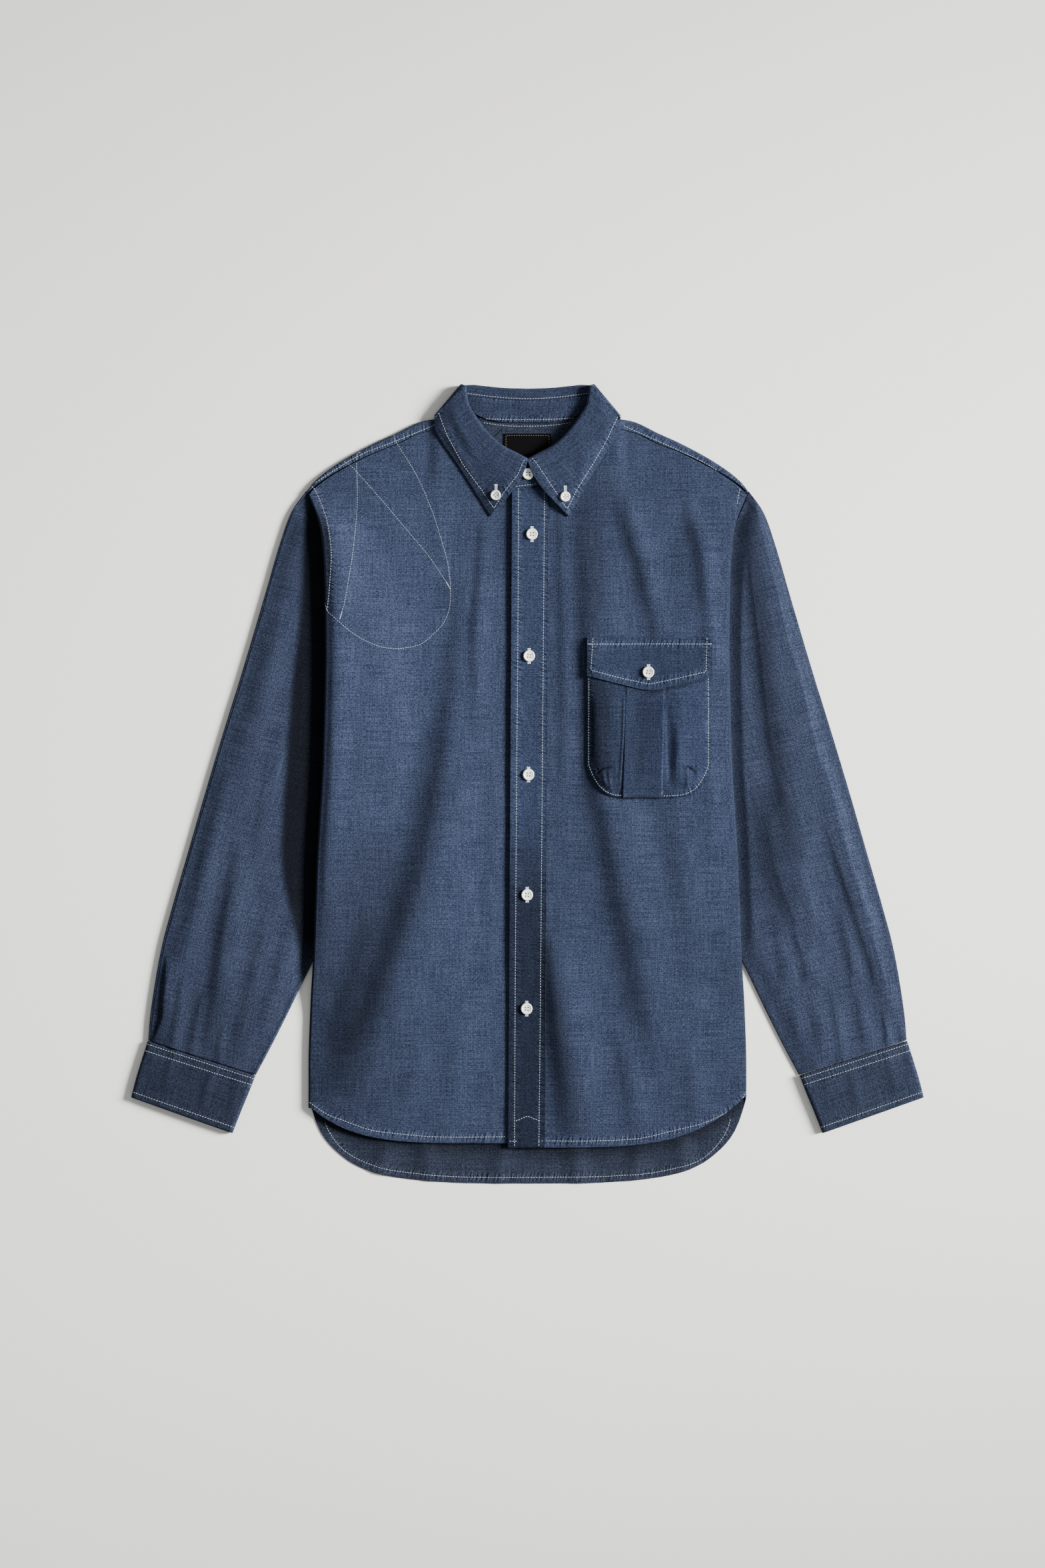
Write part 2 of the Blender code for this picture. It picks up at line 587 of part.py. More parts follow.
def build_button(button, paint):
    sides = BUTTON_SIDES
    radius = button.diameter / 2
    carrier = bpy.data.objects[button.carrier]
    ground, up = seat(carrier, button.x, button.y, radius)
    if button.carrier == "collar_stand":
        ground += COLLAR_WALL
    points = [(0, 0, 0)]
    for share, z in BUTTON_OUTLINE:
        for index in range(sides):
            angle = 2 * math.pi * index / sides
            points.append((radius * share * math.cos(angle), radius * share * math.sin(angle), z))
    points.append((0, 0, BUTTON_OUTLINE[-1][1]))
    last = len(points) - 1
    faces = []
    for index in range(sides):
        after = (index + 1) % sides
        faces.append((0, 1 + after, 1 + index))
        for ring in range(len(BUTTON_OUTLINE) - 1):
            low, high = 1 + ring * sides, 1 + (ring + 1) * sides
            faces.append((low + index, low + after, high + after, high + index))
        top_ring = 1 + (len(BUTTON_OUTLINE) - 1) * sides
        faces.append((last, top_ring + index, top_ring + after))
    made = add_object(button.name, points, faces, paint)
    made.rotation_mode = "QUATERNION"
    made.rotation_quaternion = Vector((0, 0, 1)).rotation_difference(up)
    made.location = Vector((button.x, button.y, ground + SEAM)) * MM
    made.data.shade_smooth()
    made.data.set_sharp_from_angle(angle=math.radians(40))
    return made


front_cloth = material("chambray_front", 64, 79, 104, 0.92)
sleeve_cloth = material("chambray_sleeve", 67, 81, 104, 0.92)
back_cloth = material("chambray_inside", 53, 64, 85, 0.94)
collar_cloth = material("chambray_collar", 55, 68, 88, 0.92)
cuff_cloth = material("chambray_cuff", 57, 69, 87, 0.92)
placket_cloth = material("chambray_placket", 60, 74, 99, 0.92)
label_cloth = material("label_black", 24, 24, 27, 0.85)
button_shell = material("button_white", 214, 214, 206, 0.35)

build_back(back_cloth)
build_yoke(back_cloth)
build_front("front_right", -1, 0.042, HEM_RIGHT, front_cloth)
build_front("front_left", 1, 0.094, HEM_LEFT, front_cloth)
build_placket(placket_cloth)
build_leaf(collar_cloth)
build_stand(collar_cloth)
for label, side in (("right", -1), ("left", 1)):
    build_tube("sleeve_" + label, SLEEVE, SLEEVE_FOLDS, WALL, side, sleeve_cloth)
    build_tube("cuff_" + label, CUFF, (), CUFF_WALL, side, cuff_cloth)
build_pocket(front_cloth)
build_flap(front_cloth)
build_label("label_patch", PATCH_HALF, PATCH_TOP, PATCH_FOOT, PATCH_CLIP, 1, back_cloth)
build_label("neck_label", LABEL_HALF, LABEL_TOP, LABEL_FOOT, 0, 2, label_cloth)
for button in BUTTONS:
    build_button(button, button_shell)
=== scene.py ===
"""A chambray work shirt laid flat on its back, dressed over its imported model.

Lengths are in millimetres unless a name says otherwise. +X is the image right (the wearer's left), +Y
points to the collar and +Z is up. "Right" and "left" in a piece's name are the wearer's.
"""

import math
from collections import namedtuple

import bmesh
import bpy
import numpy as np
from mathutils import Matrix, Vector
from mathutils.bvhtree import BVHTree


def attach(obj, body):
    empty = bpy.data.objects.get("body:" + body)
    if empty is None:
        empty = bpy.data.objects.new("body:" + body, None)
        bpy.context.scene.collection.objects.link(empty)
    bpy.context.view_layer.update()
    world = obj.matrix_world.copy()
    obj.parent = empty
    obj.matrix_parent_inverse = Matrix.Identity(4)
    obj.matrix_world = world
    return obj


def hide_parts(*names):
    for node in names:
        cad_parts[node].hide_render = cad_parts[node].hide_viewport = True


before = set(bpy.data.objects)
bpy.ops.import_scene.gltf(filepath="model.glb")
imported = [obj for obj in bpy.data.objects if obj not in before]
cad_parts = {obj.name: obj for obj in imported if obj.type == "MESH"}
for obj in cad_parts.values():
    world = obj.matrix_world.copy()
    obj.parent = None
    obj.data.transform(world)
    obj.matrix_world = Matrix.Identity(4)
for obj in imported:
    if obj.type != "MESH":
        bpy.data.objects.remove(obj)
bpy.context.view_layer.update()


# ---- The studio --------------------------------------------------------------------------------
# A pale seamless floor, one large soft light low at the image right, a weak fill all round, and the
# camera straight above the shirt.
MM = 0.001
LENS, SENSOR = 85.0, 36.0
VIEW_LENGTH = 1552.0           # what the long side of the frame covers
VIEW_X, VIEW_Y, VIEW_Z = -4.95, -0.33, 6.0
FLOOR_HALF = 9000.0
FLOOR_DROP = 0.2               # the floor lies just under the cloth
FLOOR_TONES = ((0.785, 0.785, 0.735), (0.81, 0.81, 0.762))
KEY_DISTANCE, KEY_SIZE = 5000.0, 1600.0
KEY_ELEVATION, KEY_TURN = math.radians(25), math.radians(10)
KEY_WATTS, KEY_SPREAD, FILL_STRENGTH = 76.0, math.radians(36), 0.45


def add_node(tree, kind, inputs, **settings):
    """A shader node with its settings and its inputs, which are values or other nodes' sockets."""
    made = tree.nodes.new("ShaderNode" + kind)
    for key, value in settings.items():
        setattr(made, key, value)
    for key, value in inputs.items():
        if isinstance(value, bpy.types.NodeSocket):
            tree.links.new(value, made.inputs[key])
        else:
            made.inputs[key].default_value = value
    return made


def blend(tree, share, dark, pale):
    """A colour between two linear colours."""
    mixed = add_node(tree, "Mix", {0: share, 6: (*dark, 1), 7: (*pale, 1)}, data_type="RGBA")
    return mixed.outputs[2]


def start_paint(name):
    """A new material, with its node tree and its shader."""
    paint = bpy.data.materials.new(name)
    paint.use_nodes = True
    return paint, paint.node_tree, paint.node_tree.nodes["Principled BSDF"]


def cloudy_noise(tree, scale, detail, distortion=0.0):
    where = add_node(tree, "TexCoord", {}).outputs["Object"]
    return add_node(tree, "TexNoise", {"Vector": where, "Scale": scale, "Detail": detail,
                                       "Distortion": distortion}).outputs["Fac"]


def end_form(form, name):
    """The mesh of a finished form."""
    mesh = bpy.data.meshes.new(name)
    form.to_mesh(mesh)
    form.free()
    return mesh


def link_object(name, mesh):
    made = bpy.data.objects.new(name, mesh)
    bpy.context.scene.collection.objects.link(made)
    return made


def make_studio():
    form = bmesh.new()
    bmesh.ops.create_grid(form, x_segments=1, y_segments=1, size=FLOOR_HALF * MM)
    bmesh.ops.translate(form, verts=form.verts, vec=(0, 0, -FLOOR_DROP * MM))
    mesh = end_form(form, "floor")
    floor = link_object("floor", mesh)
    paint, tree, shader = start_paint("studio_floor")
    tone = blend(tree, cloudy_noise(tree, 3.0, 3.0), *FLOOR_TONES)
    tree.links.new(tone, shader.inputs["Base Color"])
    shader.inputs["Roughness"].default_value = 0.9
    mesh.materials.append(paint)

    centre = Vector((VIEW_X, VIEW_Y, 0))
    key = bpy.data.lights.new("key_light", "AREA")
    key.energy = KEY_WATTS
    key.size = KEY_SIZE * MM
    key.spread = KEY_SPREAD
    key.color = (1.0, 0.995, 0.985)
    lamp = link_object("key_light", key)
    toward = Vector((math.cos(KEY_ELEVATION) * math.cos(KEY_TURN),
                     math.cos(KEY_ELEVATION) * math.sin(KEY_TURN), math.sin(KEY_ELEVATION)))
    lamp.location = (centre + toward * KEY_DISTANCE) * MM
    lamp.rotation_euler = toward.to_track_quat("Z", "Y").to_euler()
    world = bpy.data.worlds.new("fill_light")
    world.use_nodes = True
    background = world.node_tree.nodes["Background"]
    background.inputs["Color"].default_value = (0.98, 0.99, 1.0, 1)
    background.inputs["Strength"].default_value = FILL_STRENGTH
    bpy.context.scene.world = world

    lens = bpy.data.cameras.new("camera")
    lens.lens, lens.sensor_width, lens.sensor_fit = LENS, SENSOR, "AUTO"
    camera = link_object("camera", lens)
    camera.location = Vector((VIEW_X, VIEW_Y, VIEW_Z + VIEW_LENGTH * LENS / SENSOR)) * MM
    bpy.context.scene.camera = camera


make_studio()


# ---- The back ----------------------------------------------------------------------------------
# The lower panel of the body: chambray with an indigo warp and a paler weft, hemmed in a long curved
# tail. It lies on the floor, its sides turn up into the fronts, and its inside shows in the tail.
WALL = 0.8                     # two faces of the cloth and its nap
SEAM = 0.3
BODY_HEIGHT, CHEST_SWELL, SIDE_SWELL = 3.8, 1.0, 1.4
CHEST_FOOT, CHEST_RUN = 60.0, 160.0            # where the swell of the chest begins
SIDE_START, SIDE_RUN, SIDE_TOP, SIDE_TOP_RUN = 40.0, 130.0, 240.0, 45.0
TUCK_SLOPE = 58.0
TUCK_LIFT_RIGHT, TUCK_LIFT_LEFT = 6.3, 3.2     # rise of the body's sides over the tucked sleeves
TUCK_TOP, TUCK_TOP_RUN = 295.0, 50.0
TUCK_FOOT, TUCK_FOOT_RUN = -235.0, 60.0
EDGE_RISE, EDGE_RUN = 5.4, 50.0                # the wearer's right side stands up along its fold
EDGE_CREST, EDGE_FALL, EDGE_POWER = 0.80, 0.55, 1.6    # and falls again to the fold itself
EDGE_TOP, EDGE_TOP_RUN, EDGE_FOOT, EDGE_FOOT_RUN = 288.0, 40.0, -230.0, 190.0
NECK_LIFT, NECK_HALF, NECK_FOOT = 1.8, 88.0, 312.0
NECK_RUN, FRONT_NECK_RUN = 12.0, 40.0
YOKE_SEAM = 250.0
BACK_COLUMNS, BACK_ROWS, ROLL_COLUMNS = 112, 132, 7
ROLL_DEGREES = 80.0
NO_SEAM = 1000.0               # further from a seam than any pucker reaches

Side = namedtuple("Side", "y half")
BODY_SIDE = (
    Side(-335, 217), Side(-280, 217), Side(-217, 215), Side(-175, 212.3), Side(-76, 208.4),
    Side(28, 202.4), Side(142, 200.0), Side(203, 200.8), Side(245, 203.7), Side(260, 207.0),
    Side(274, 212.3), Side(289, 219.0),
)
SLEEVE_INNER = (
    Side(-202, 225), Side(-161, 206.6), Side(-105, 190.7), Side(-43, 177.5), Side(17, 168.3),
    Side(73, 162.4), Side(141, 162.4), Side(162, 169), Side(183, 178), Side(216, 190),
    Side(251, 201), Side(289, 219),
)
Tail = namedtuple("Tail", "share y")
BACK_HEM = (
    Tail(0, -396.4), Tail(0.27, -396.0), Tail(0.45, -394.0), Tail(0.59, -390.8), Tail(0.70, -386.0),
    Tail(0.80, -377.5), Tail(0.88, -365.0), Tail(0.94, -351.0), Tail(0.975, -337.0), Tail(1.0, -321.0),
)
BACK_LEVEL, BACK_BEND = -397.0, -218.0
TAIL_TOP, TAIL_RUN = -335.0, 20.0              # the ridges of the tail end under the fronts
ROLL_HEM = 11.0                # on its left side fold the back ends with the front
Hem = namedtuple("Hem", "middle rise power")
HEM_RIGHT, HEM_LEFT, FRONT_HALF = Hem(-356.2, 35.0, 5.2), Hem(-360.5, 50.0, 4.2), 214.0
HEM_SHADE, HEM_SHADE_RUN = -0.6, 11.0          # painted shadow: the tail is darkened beside the hems of the fronts, which stand over it
# Soft ridges of the tail, standing up from the floor.
Crease = namedtuple("Crease", "path left right height")
TAIL_CREASES = (
    Crease(((-150, -392), (-138, -352)), (8, 11), (9, 12), 2.2),
    Crease(((-96, -398), (-104, -350)), (7, 10), (8, 11), 1.7),
    Crease(((-30, -400), (-22, -355)), (9, 12), (8, 10), 2.0),
    Crease(((52, -400), (44, -352)), (8, 12), (9, 12), 2.2),
    Crease(((104, -398), (112, -350)), (7, 10), (10, 12), 1.7),
    Crease(((158, -388), (150, -346)), (8, 10), (8, 10), 2.0),
)


def smooth(share):
    share = np.clip(share, 0.0, 1.0)
    return share * share * (3 - 2 * share)


def read(table, column, key):
    """Values of a column at keys of the table's first column, on a smooth curve."""
    keys = np.array([row[0] for row in table], float)
    values = np.array([getattr(row, column) for row in table], float)
    steps = np.diff(keys)
    slopes = np.diff(values) / steps
    product = slopes[:-1] * slopes[1:]
    total = np.where(product > 0, slopes[:-1] + slopes[1:], 1.0)
    inner = np.where(product > 0, 2 * product / total, 0.0)
    tangents = np.concatenate([slopes[:1], inner, slopes[-1:]])
    key = np.clip(np.asarray(key, float), keys[0], keys[-1])
    index = np.clip(np.searchsorted(keys, key, side="right") - 1, 0, len(steps) - 1)
    step = steps[index]
    t = (key - keys[index]) / step
    straight = (2 * t**3 - 3 * t**2 + 1) * values[index] + (3 * t**2 - 2 * t**3) * values[index + 1]
    bent = (t**3 - 2 * t**2 + t) * tangents[index] + (t**3 - t**2) * tangents[index + 1]
    return straight + step * bent


def nearest_on(path, x, y):
    """At points: distance to a path, positive at the right of its run, and length along it. Also its length."""
    best = np.full(np.shape(x), np.inf)
    signed, along = np.zeros(np.shape(x)), np.zeros(np.shape(x))
    start = 0.0
    for (x0, y0), (x1, y1) in zip(path[:-1], path[1:]):
        run_x, run_y = x1 - x0, y1 - y0
        length = math.hypot(run_x, run_y)
        t = np.clip(((x - x0) * run_x + (y - y0) * run_y) / length**2, 0, 1)
        off_x, off_y = x - x0 - t * run_x, y - y0 - t * run_y
        far = np.hypot(off_x, off_y)
        side = np.sign(off_x * run_y - off_y * run_x)
        near = far < best
        best = np.where(near, far, best)
        signed = np.where(near, far * side, signed)
        along = np.where(near, start + t * length, along)
        start += length
    return signed, along, start


def crease_height(creases, x, y):
    """Sum of soft ridges and troughs. A crease runs down its path and fades out at both ends."""
    total = np.zeros(np.shape(x))
    for crease in creases:
        signed, along, length = nearest_on(crease.path, x, y)
        down = crease.path[-1][1] < crease.path[0][1]
        signed = -signed if down else signed
        share = along / length
        wide = np.where(signed < 0, crease.left[0] + (crease.left[1] - crease.left[0]) * share,
                        crease.right[0] + (crease.right[1] - crease.right[0]) * share)
        fade = np.sqrt(np.clip(np.sin(np.pi * np.clip(share, 0, 1)), 0, 1))
        total = total + crease.height * fade * np.exp(-(signed / wide) ** 2)
    return total


def lift(x, y, neck_run=NECK_RUN):
    """Height of the body's underside: over the tucked sleeves, at the neck and along the raised side."""
    inner = read(SLEEVE_INNER, "half", y)
    beside = smooth((np.abs(x) - inner + TUCK_SLOPE) / TUCK_SLOPE)
    ends = smooth((TUCK_TOP - y) / TUCK_TOP_RUN) * smooth((y - TUCK_FOOT) / TUCK_FOOT_RUN)
    tuck = np.where(np.asarray(x) < 0, TUCK_LIFT_RIGHT, TUCK_LIFT_LEFT)
    neck = smooth((NECK_HALF + NECK_RUN - np.abs(x)) / NECK_RUN) * smooth((y - NECK_FOOT + neck_run) / neck_run)
    near = (-x - read(BODY_SIDE, "half", y) + EDGE_RUN) / EDGE_RUN
    fallen = EDGE_FALL * smooth((near - EDGE_CREST) / (1 - EDGE_CREST))
    edge = smooth(near / EDGE_CREST) ** EDGE_POWER * (1 - fallen)
    edge = edge * smooth((EDGE_TOP - y) / EDGE_TOP_RUN) * smooth((y - EDGE_FOOT) / EDGE_FOOT_RUN)
    return tuck * beside * ends + NECK_LIFT * neck + EDGE_RISE * edge


def height(x, y):
    """Thickness of the laid body, back and front together."""
    chest = CHEST_SWELL * smooth((y - CHEST_FOOT) / CHEST_RUN)
    side = SIDE_SWELL * smooth((np.abs(x) - SIDE_START) / SIDE_RUN)
    side = side * (1 - smooth((y - SIDE_TOP) / SIDE_TOP_RUN))
    return BODY_HEIGHT + chest + side


def body_point(across, degrees, y, top_z, bottom_side):
    """Points of a body panel: a share of the half width, or an angle on the roll of a side fold."""
    side = np.sign(across)
    half = read(BODY_SIDE, "half", y)
    radius = height(half, y) / 2
    inset = half - radius
    angle = np.radians(degrees)
    rolled = degrees > 0
    x = np.where(rolled, side * (inset + radius * np.sin(angle)), across * inset)
    middle = lift(side * inset, y) + radius
    turned = middle + radius * np.cos(angle) * (-1 if bottom_side else 1)
    z = np.where(rolled, turned, top_z(x, y))
    return x, z, side * radius * angle


def tight(share, segments, edge):
    """Moves a grid's outermost lines close to the cloth's edges, so that its rim shades crisply."""
    line = share * segments
    inner = edge + (1 - 2 * edge) * np.clip((line - 1) / (segments - 2), 0, 1)
    return np.where(line < 0.5, 0.0, np.where(line > segments - 0.5, 1.0, inner))


def nearest_seam(seams, x, y):
    """Length along the nearest seam, and signed distance from it."""
    run, far = np.zeros(len(x)), np.full(len(x), NO_SEAM)
    for path in seams:
        signed, at, _ = nearest_on(path, x, y)
        nearer = np.abs(signed) < np.abs(far)
        run, far = np.where(nearer, at, run), np.where(nearer, signed, far)
    return run, far


def cloth(name, columns, rows, shape, face, lining, wall=WALL, seams=(), closed=False, flip=False):
    """A piece of cloth: a grid bent through shape(u, v), with a wall whose two sides have their own paint.

    The shape gives points, the cloth's own flat coordinates, which the weave reads as a UV map, and painted
    light and shade for its colour. A second UV map holds the length along the nearest seam and the distance
    from it.
    """
    form = bmesh.new()
    bmesh.ops.create_grid(form, x_segments=columns, y_segments=rows, size=0.5)
    mesh = end_form(form, name)
    count = len(mesh.vertices)
    flat = np.zeros(count * 3)
    mesh.vertices.foreach_get("co", flat)
    flat = flat.reshape(-1, 3) + 0.5
    x, y, z, across, along, painted_light_and_shade = shape(flat[:, 0], flat[:, 1])
    # the "fade" attribute carries painted light and shade: it darkens or lightens the cloth's colour
    mesh.attributes.new("fade", "FLOAT", "POINT").data.foreach_set("value", painted_light_and_shade * np.ones(count))
    mesh.vertices.foreach_set("co", (np.column_stack([x, y, z]) * MM).ravel())
    corner = np.zeros(len(mesh.loops), np.int32)
    mesh.loops.foreach_get("vertex_index", corner)
    for key, pair in (("weave", (across, along)), ("seam", nearest_seam(seams, x, y))):
        flat_map = mesh.uv_layers.new(name=key)
        flat_map.data.foreach_set("uv", (np.column_stack(pair)[corner] * MM).ravel())
    if closed or flip:
        form = bmesh.new()
        form.from_mesh(mesh)
        if closed:
            bmesh.ops.remove_doubles(form, verts=form.verts, dist=0.02 * MM)
        if flip:
            bmesh.ops.reverse_faces(form, faces=form.faces)
        form.to_mesh(mesh)
        form.free()
    mesh.materials.append(face)
    mesh.materials.append(lining)
    mesh.shade_smooth()
    made = link_object(name, mesh)
    solid = made.modifiers.new("wall", "SOLIDIFY")
    solid.thickness = wall * MM
    solid.offset = -1
    solid.material_offset = 1
    return made


def add_sockets(tree, inputs, outputs):
    for way, sockets in (("INPUT", inputs), ("OUTPUT", outputs)):
        for name, kind in sockets:
            tree.interface.new_socket(name=name, in_out=way, socket_type="NodeSocket" + kind)


# Threads of the weave: how often they repeat per millimetre across and along, and how much each adds
# to the tone. Warp threads run along the piece and weft threads across it.
Thread = namedtuple("Thread", "across along detail tone relief")
THREADS = (
    Thread(1.60, 1.60, 1.0, 2.30, 0.018), Thread(2.6, 0.38, 0.0, 0.95, 0.008),
    Thread(0.32, 2.6, 1.0, 1.20, 0.012), Thread(0.030, 0.95, 1.0, 0.66, 0.006),
    Thread(1.00, 0.035, 0.0, 0.44, 0.004), Thread(0.05, 0.035, 2.0, 0.26, 0.0),
    Thread(0.60, 0.60, 1.0, 0.55, 0.004),
)
MEAN_TONE, WEFT_SHOW = 0.42, 1.35   # the pale weft shows in small flecks
PUCKER_REACH, PUCKER_SLANT = 7.0, 0.25         # how far puckers run from a row of stitches, and their lean
PUCKER_RATE = (0.42, 0.07)     # puckers to the millimetre along the row, and away from it
PUCKER_TONE, PUCKER_RISE, RUB_TONE = 1.5, 1.1, 0.10    # cloth beside a seam is also rubbed paler
ROUGH_DARK, ROUGH_DROP = 0.95, -0.12           # the pale threads are a little smoother


def calculate(tree, operation, *values, **settings):
    numbered = dict(enumerate(values))
    return add_node(tree, "Math", numbered, operation=operation, **settings).outputs[0]


def flat_noise(tree, where, rate, detail):
    """Noise on flat coordinates, at a rate to the millimetre across and along."""
    scaled = add_node(tree, "VectorMath", {0: where, 1: (rate[0] / MM, rate[1] / MM, 0)}, operation="MULTIPLY")
    return add_node(tree, "TexNoise", {"Vector": scaled.outputs[0], "Scale": 1.0, "Detail": detail},
                    noise_dimensions="2D").outputs["Fac"]


def make_chambray_group():
    """Tone, roughness and relief of the cloth: crossed slubby threads, puckers beside seams, and painted light
    and shade that scale its colour.
    """
    tree = bpy.data.node_groups.new("chambray_weave", "ShaderNodeTree")
    add_sockets(tree, (("Weave", "Vector"), ("Seam", "Vector"), ("Dark", "Color"), ("Light", "Color"),
                       ("Pucker", "Float"), ("Fade", "Float")),
                (("Color", "Color"), ("Roughness", "Float"), ("Height", "Float")))
    given = tree.nodes.new("NodeGroupInput").outputs
    result = tree.nodes.new("NodeGroupOutput").inputs
    tone, relief = MEAN_TONE - sum(thread.tone for thread in THREADS) / 2, 0.0
    for thread in THREADS:
        noise = flat_noise(tree, given["Weave"], (thread.across, thread.along), thread.detail)
        tone = calculate(tree, "MULTIPLY_ADD", noise, thread.tone, tone)
        if thread.relief:
            relief = calculate(tree, "MULTIPLY_ADD", noise, thread.relief * MM, relief)
    parts = add_node(tree, "SeparateXYZ", {0: given["Seam"]}).outputs
    away = calculate(tree, "ABSOLUTE", parts["Y"])
    beside = add_node(tree, "MapRange", {"Value": away, "From Min": PUCKER_REACH * MM, "From Max": 0.0},
                      interpolation_type="SMOOTHSTEP").outputs[0]
    slanted = calculate(tree, "MULTIPLY_ADD", parts["Y"], PUCKER_SLANT, parts["X"])
    where = add_node(tree, "CombineXYZ", {"X": slanted, "Y": away}).outputs[0]
    centred = calculate(tree, "SUBTRACT", flat_noise(tree, where, PUCKER_RATE, 1.5), 0.5)
    strength = calculate(tree, "MULTIPLY", beside, given["Pucker"])
    pucker = calculate(tree, "MULTIPLY", centred, strength)
    worn = calculate(tree, "MULTIPLY_ADD", pucker, PUCKER_TONE, tone)
    rubbed = calculate(tree, "MULTIPLY_ADD", strength, RUB_TONE, worn, use_clamp=True)
    raised = calculate(tree, "MULTIPLY_ADD", pucker, PUCKER_RISE * MM, relief)
    shown = calculate(tree, "POWER", rubbed, WEFT_SHOW)
    mixed = add_node(tree, "Mix", {0: shown, 6: given["Dark"], 7: given["Light"]}, data_type="RGBA")
    rough = calculate(tree, "MULTIPLY_ADD", rubbed, ROUGH_DROP, ROUGH_DARK)
    # painted light and shade: the colour is scaled by one plus the cloth's painted values
    painted_light_and_shade_gain = calculate(tree, "ADD", given["Fade"], 1.0)
    toned = add_node(tree, "VectorMath", {0: mixed.outputs[2], "Scale": painted_light_and_shade_gain}, operation="SCALE")
    tree.links.new(toned.outputs[0], result["Color"])
    tree.links.new(rough, result["Roughness"])
    tree.links.new(raised, result["Height"])
    return tree


chambray = make_chambray_group()
# The darkest and palest of the cloth, by its mean: the warp is deep indigo and the weft a pale blue.
INDIGO, WEFT = (0.30, 0.36, 0.48), (2.42, 2.45, 2.34)


def chambray_paint(name, mean, pucker=1.3):
    """Chambray whose mean colour is given in linear light."""
    paint, tree, shader = start_paint(name)
    group = tree.nodes.new("ShaderNodeGroup")
    group.node_tree = chambray
    for key, shares in (("Dark", INDIGO), ("Light", WEFT)):
        group.inputs[key].default_value = [value * share for value, share in zip(mean, shares)] + [1]
    group.inputs["Pucker"].default_value = pucker
    # the painted light and shade come from each mesh's "fade" attribute
    for key, kind, settings in (("Weave", "UVMap", {"uv_map": "weave"}), ("Seam", "UVMap", {"uv_map": "seam"}),
                                ("Fade", "Attribute", {"attribute_name": "fade"})):
        source = add_node(tree, kind, {}, **settings).outputs
        tree.links.new(source["Fac" if key == "Fade" else 0], group.inputs[key])
    bump = add_node(tree, "Bump", {"Strength": 1.0, "Distance": 1.0, "Height": group.outputs["Height"]})
    tree.links.new(group.outputs["Color"], shader.inputs["Base Color"])
    tree.links.new(group.outputs["Roughness"], shader.inputs["Roughness"])
    tree.links.new(bump.outputs[0], shader.inputs["Normal"])
    shader.inputs["Specular IOR Level"].default_value = 0.07
    shader.inputs["Sheen Weight"].default_value = 0.02
    shader.inputs["Sheen Roughness"].default_value = 0.5
    return paint


face_paint = chambray_paint("chambray_face", (0.0177, 0.0228, 0.0422))
inside_paint = chambray_paint("chambray_inside", (0.0134, 0.0164, 0.0270))


def thread_paint(name, mean):
    """Cotton thread, a little uneven from stitch to stitch."""
    paint, tree, shader = start_paint(name)
    dark, pale = ([value * share for value in mean] for share in (0.6, 1.2))
    tree.links.new(blend(tree, cloudy_noise(tree, 420.0, 1.0), dark, pale), shader.inputs["Base Color"])
    shader.inputs["Roughness"].default_value = 0.75
    shader.inputs["Sheen Weight"].default_value = 0.1
    return paint


STITCH_PITCH, STITCH_LENGTH, STITCH_WIDTH = 2.66, 2.05, 0.45
STITCH_RISE, STITCH_DEPTH = 0.08, 0.8          # a stitch is a little flatter than wide
SKY = 100.0                    # rays for what lies on the cloth start this high
white_thread = thread_paint("thread_white", (0.46, 0.53, 0.60))


def smooth_path(points, step):
    """Points at an even step along a smooth curve through a few places."""
    knots = [Vector(points[0]) * 2 - Vector(points[1])] + [Vector(point) for point in points]
    knots.append(knots[-1] * 2 - knots[-2])
    fine = []
    for a, b, c, d in zip(knots, knots[1:], knots[2:], knots[3:]):
        for index in range(16):
            t = index / 16
            fine.append(0.5 * ((2 * b) + (c - a) * t + (2 * a - 5 * b + 4 * c - d) * t * t
                               + (3 * b - a - 3 * c + d) * t**3))
    fine.append(Vector(points[-1]))
    return even_path(fine, step)


def even_path(points, step):
    """Points at an even step along a line through the given ones."""
    points = np.array([tuple(point) for point in points], float)
    along = np.concatenate([[0], np.cumsum(np.linalg.norm(np.diff(points, axis=0), axis=1))])
    count = max(int(round(along[-1] / step)), 1) + 1
    at = np.linspace(0, along[-1], count)
    return np.column_stack([np.interp(at, along, points[:, k]) for k in range(2)])


def surface_of(*carriers):
    """What lies on cloth is set by rays on the finished pieces."""
    graph = bpy.context.evaluated_depsgraph_get()
    return [BVHTree.FromObject(carrier, graph) for carrier in carriers]


def drop(trees, x, y):
    """The highest place of the carriers under a point, and its normal."""
    best = None
    for tree in trees:
        place, normal, _, _ = tree.ray_cast(Vector((x, y, SKY)) * MM, Vector((0, 0, -1)))
        if place is not None and (best is None or place.z > best[0].z):
            best = (place, normal)
    return best


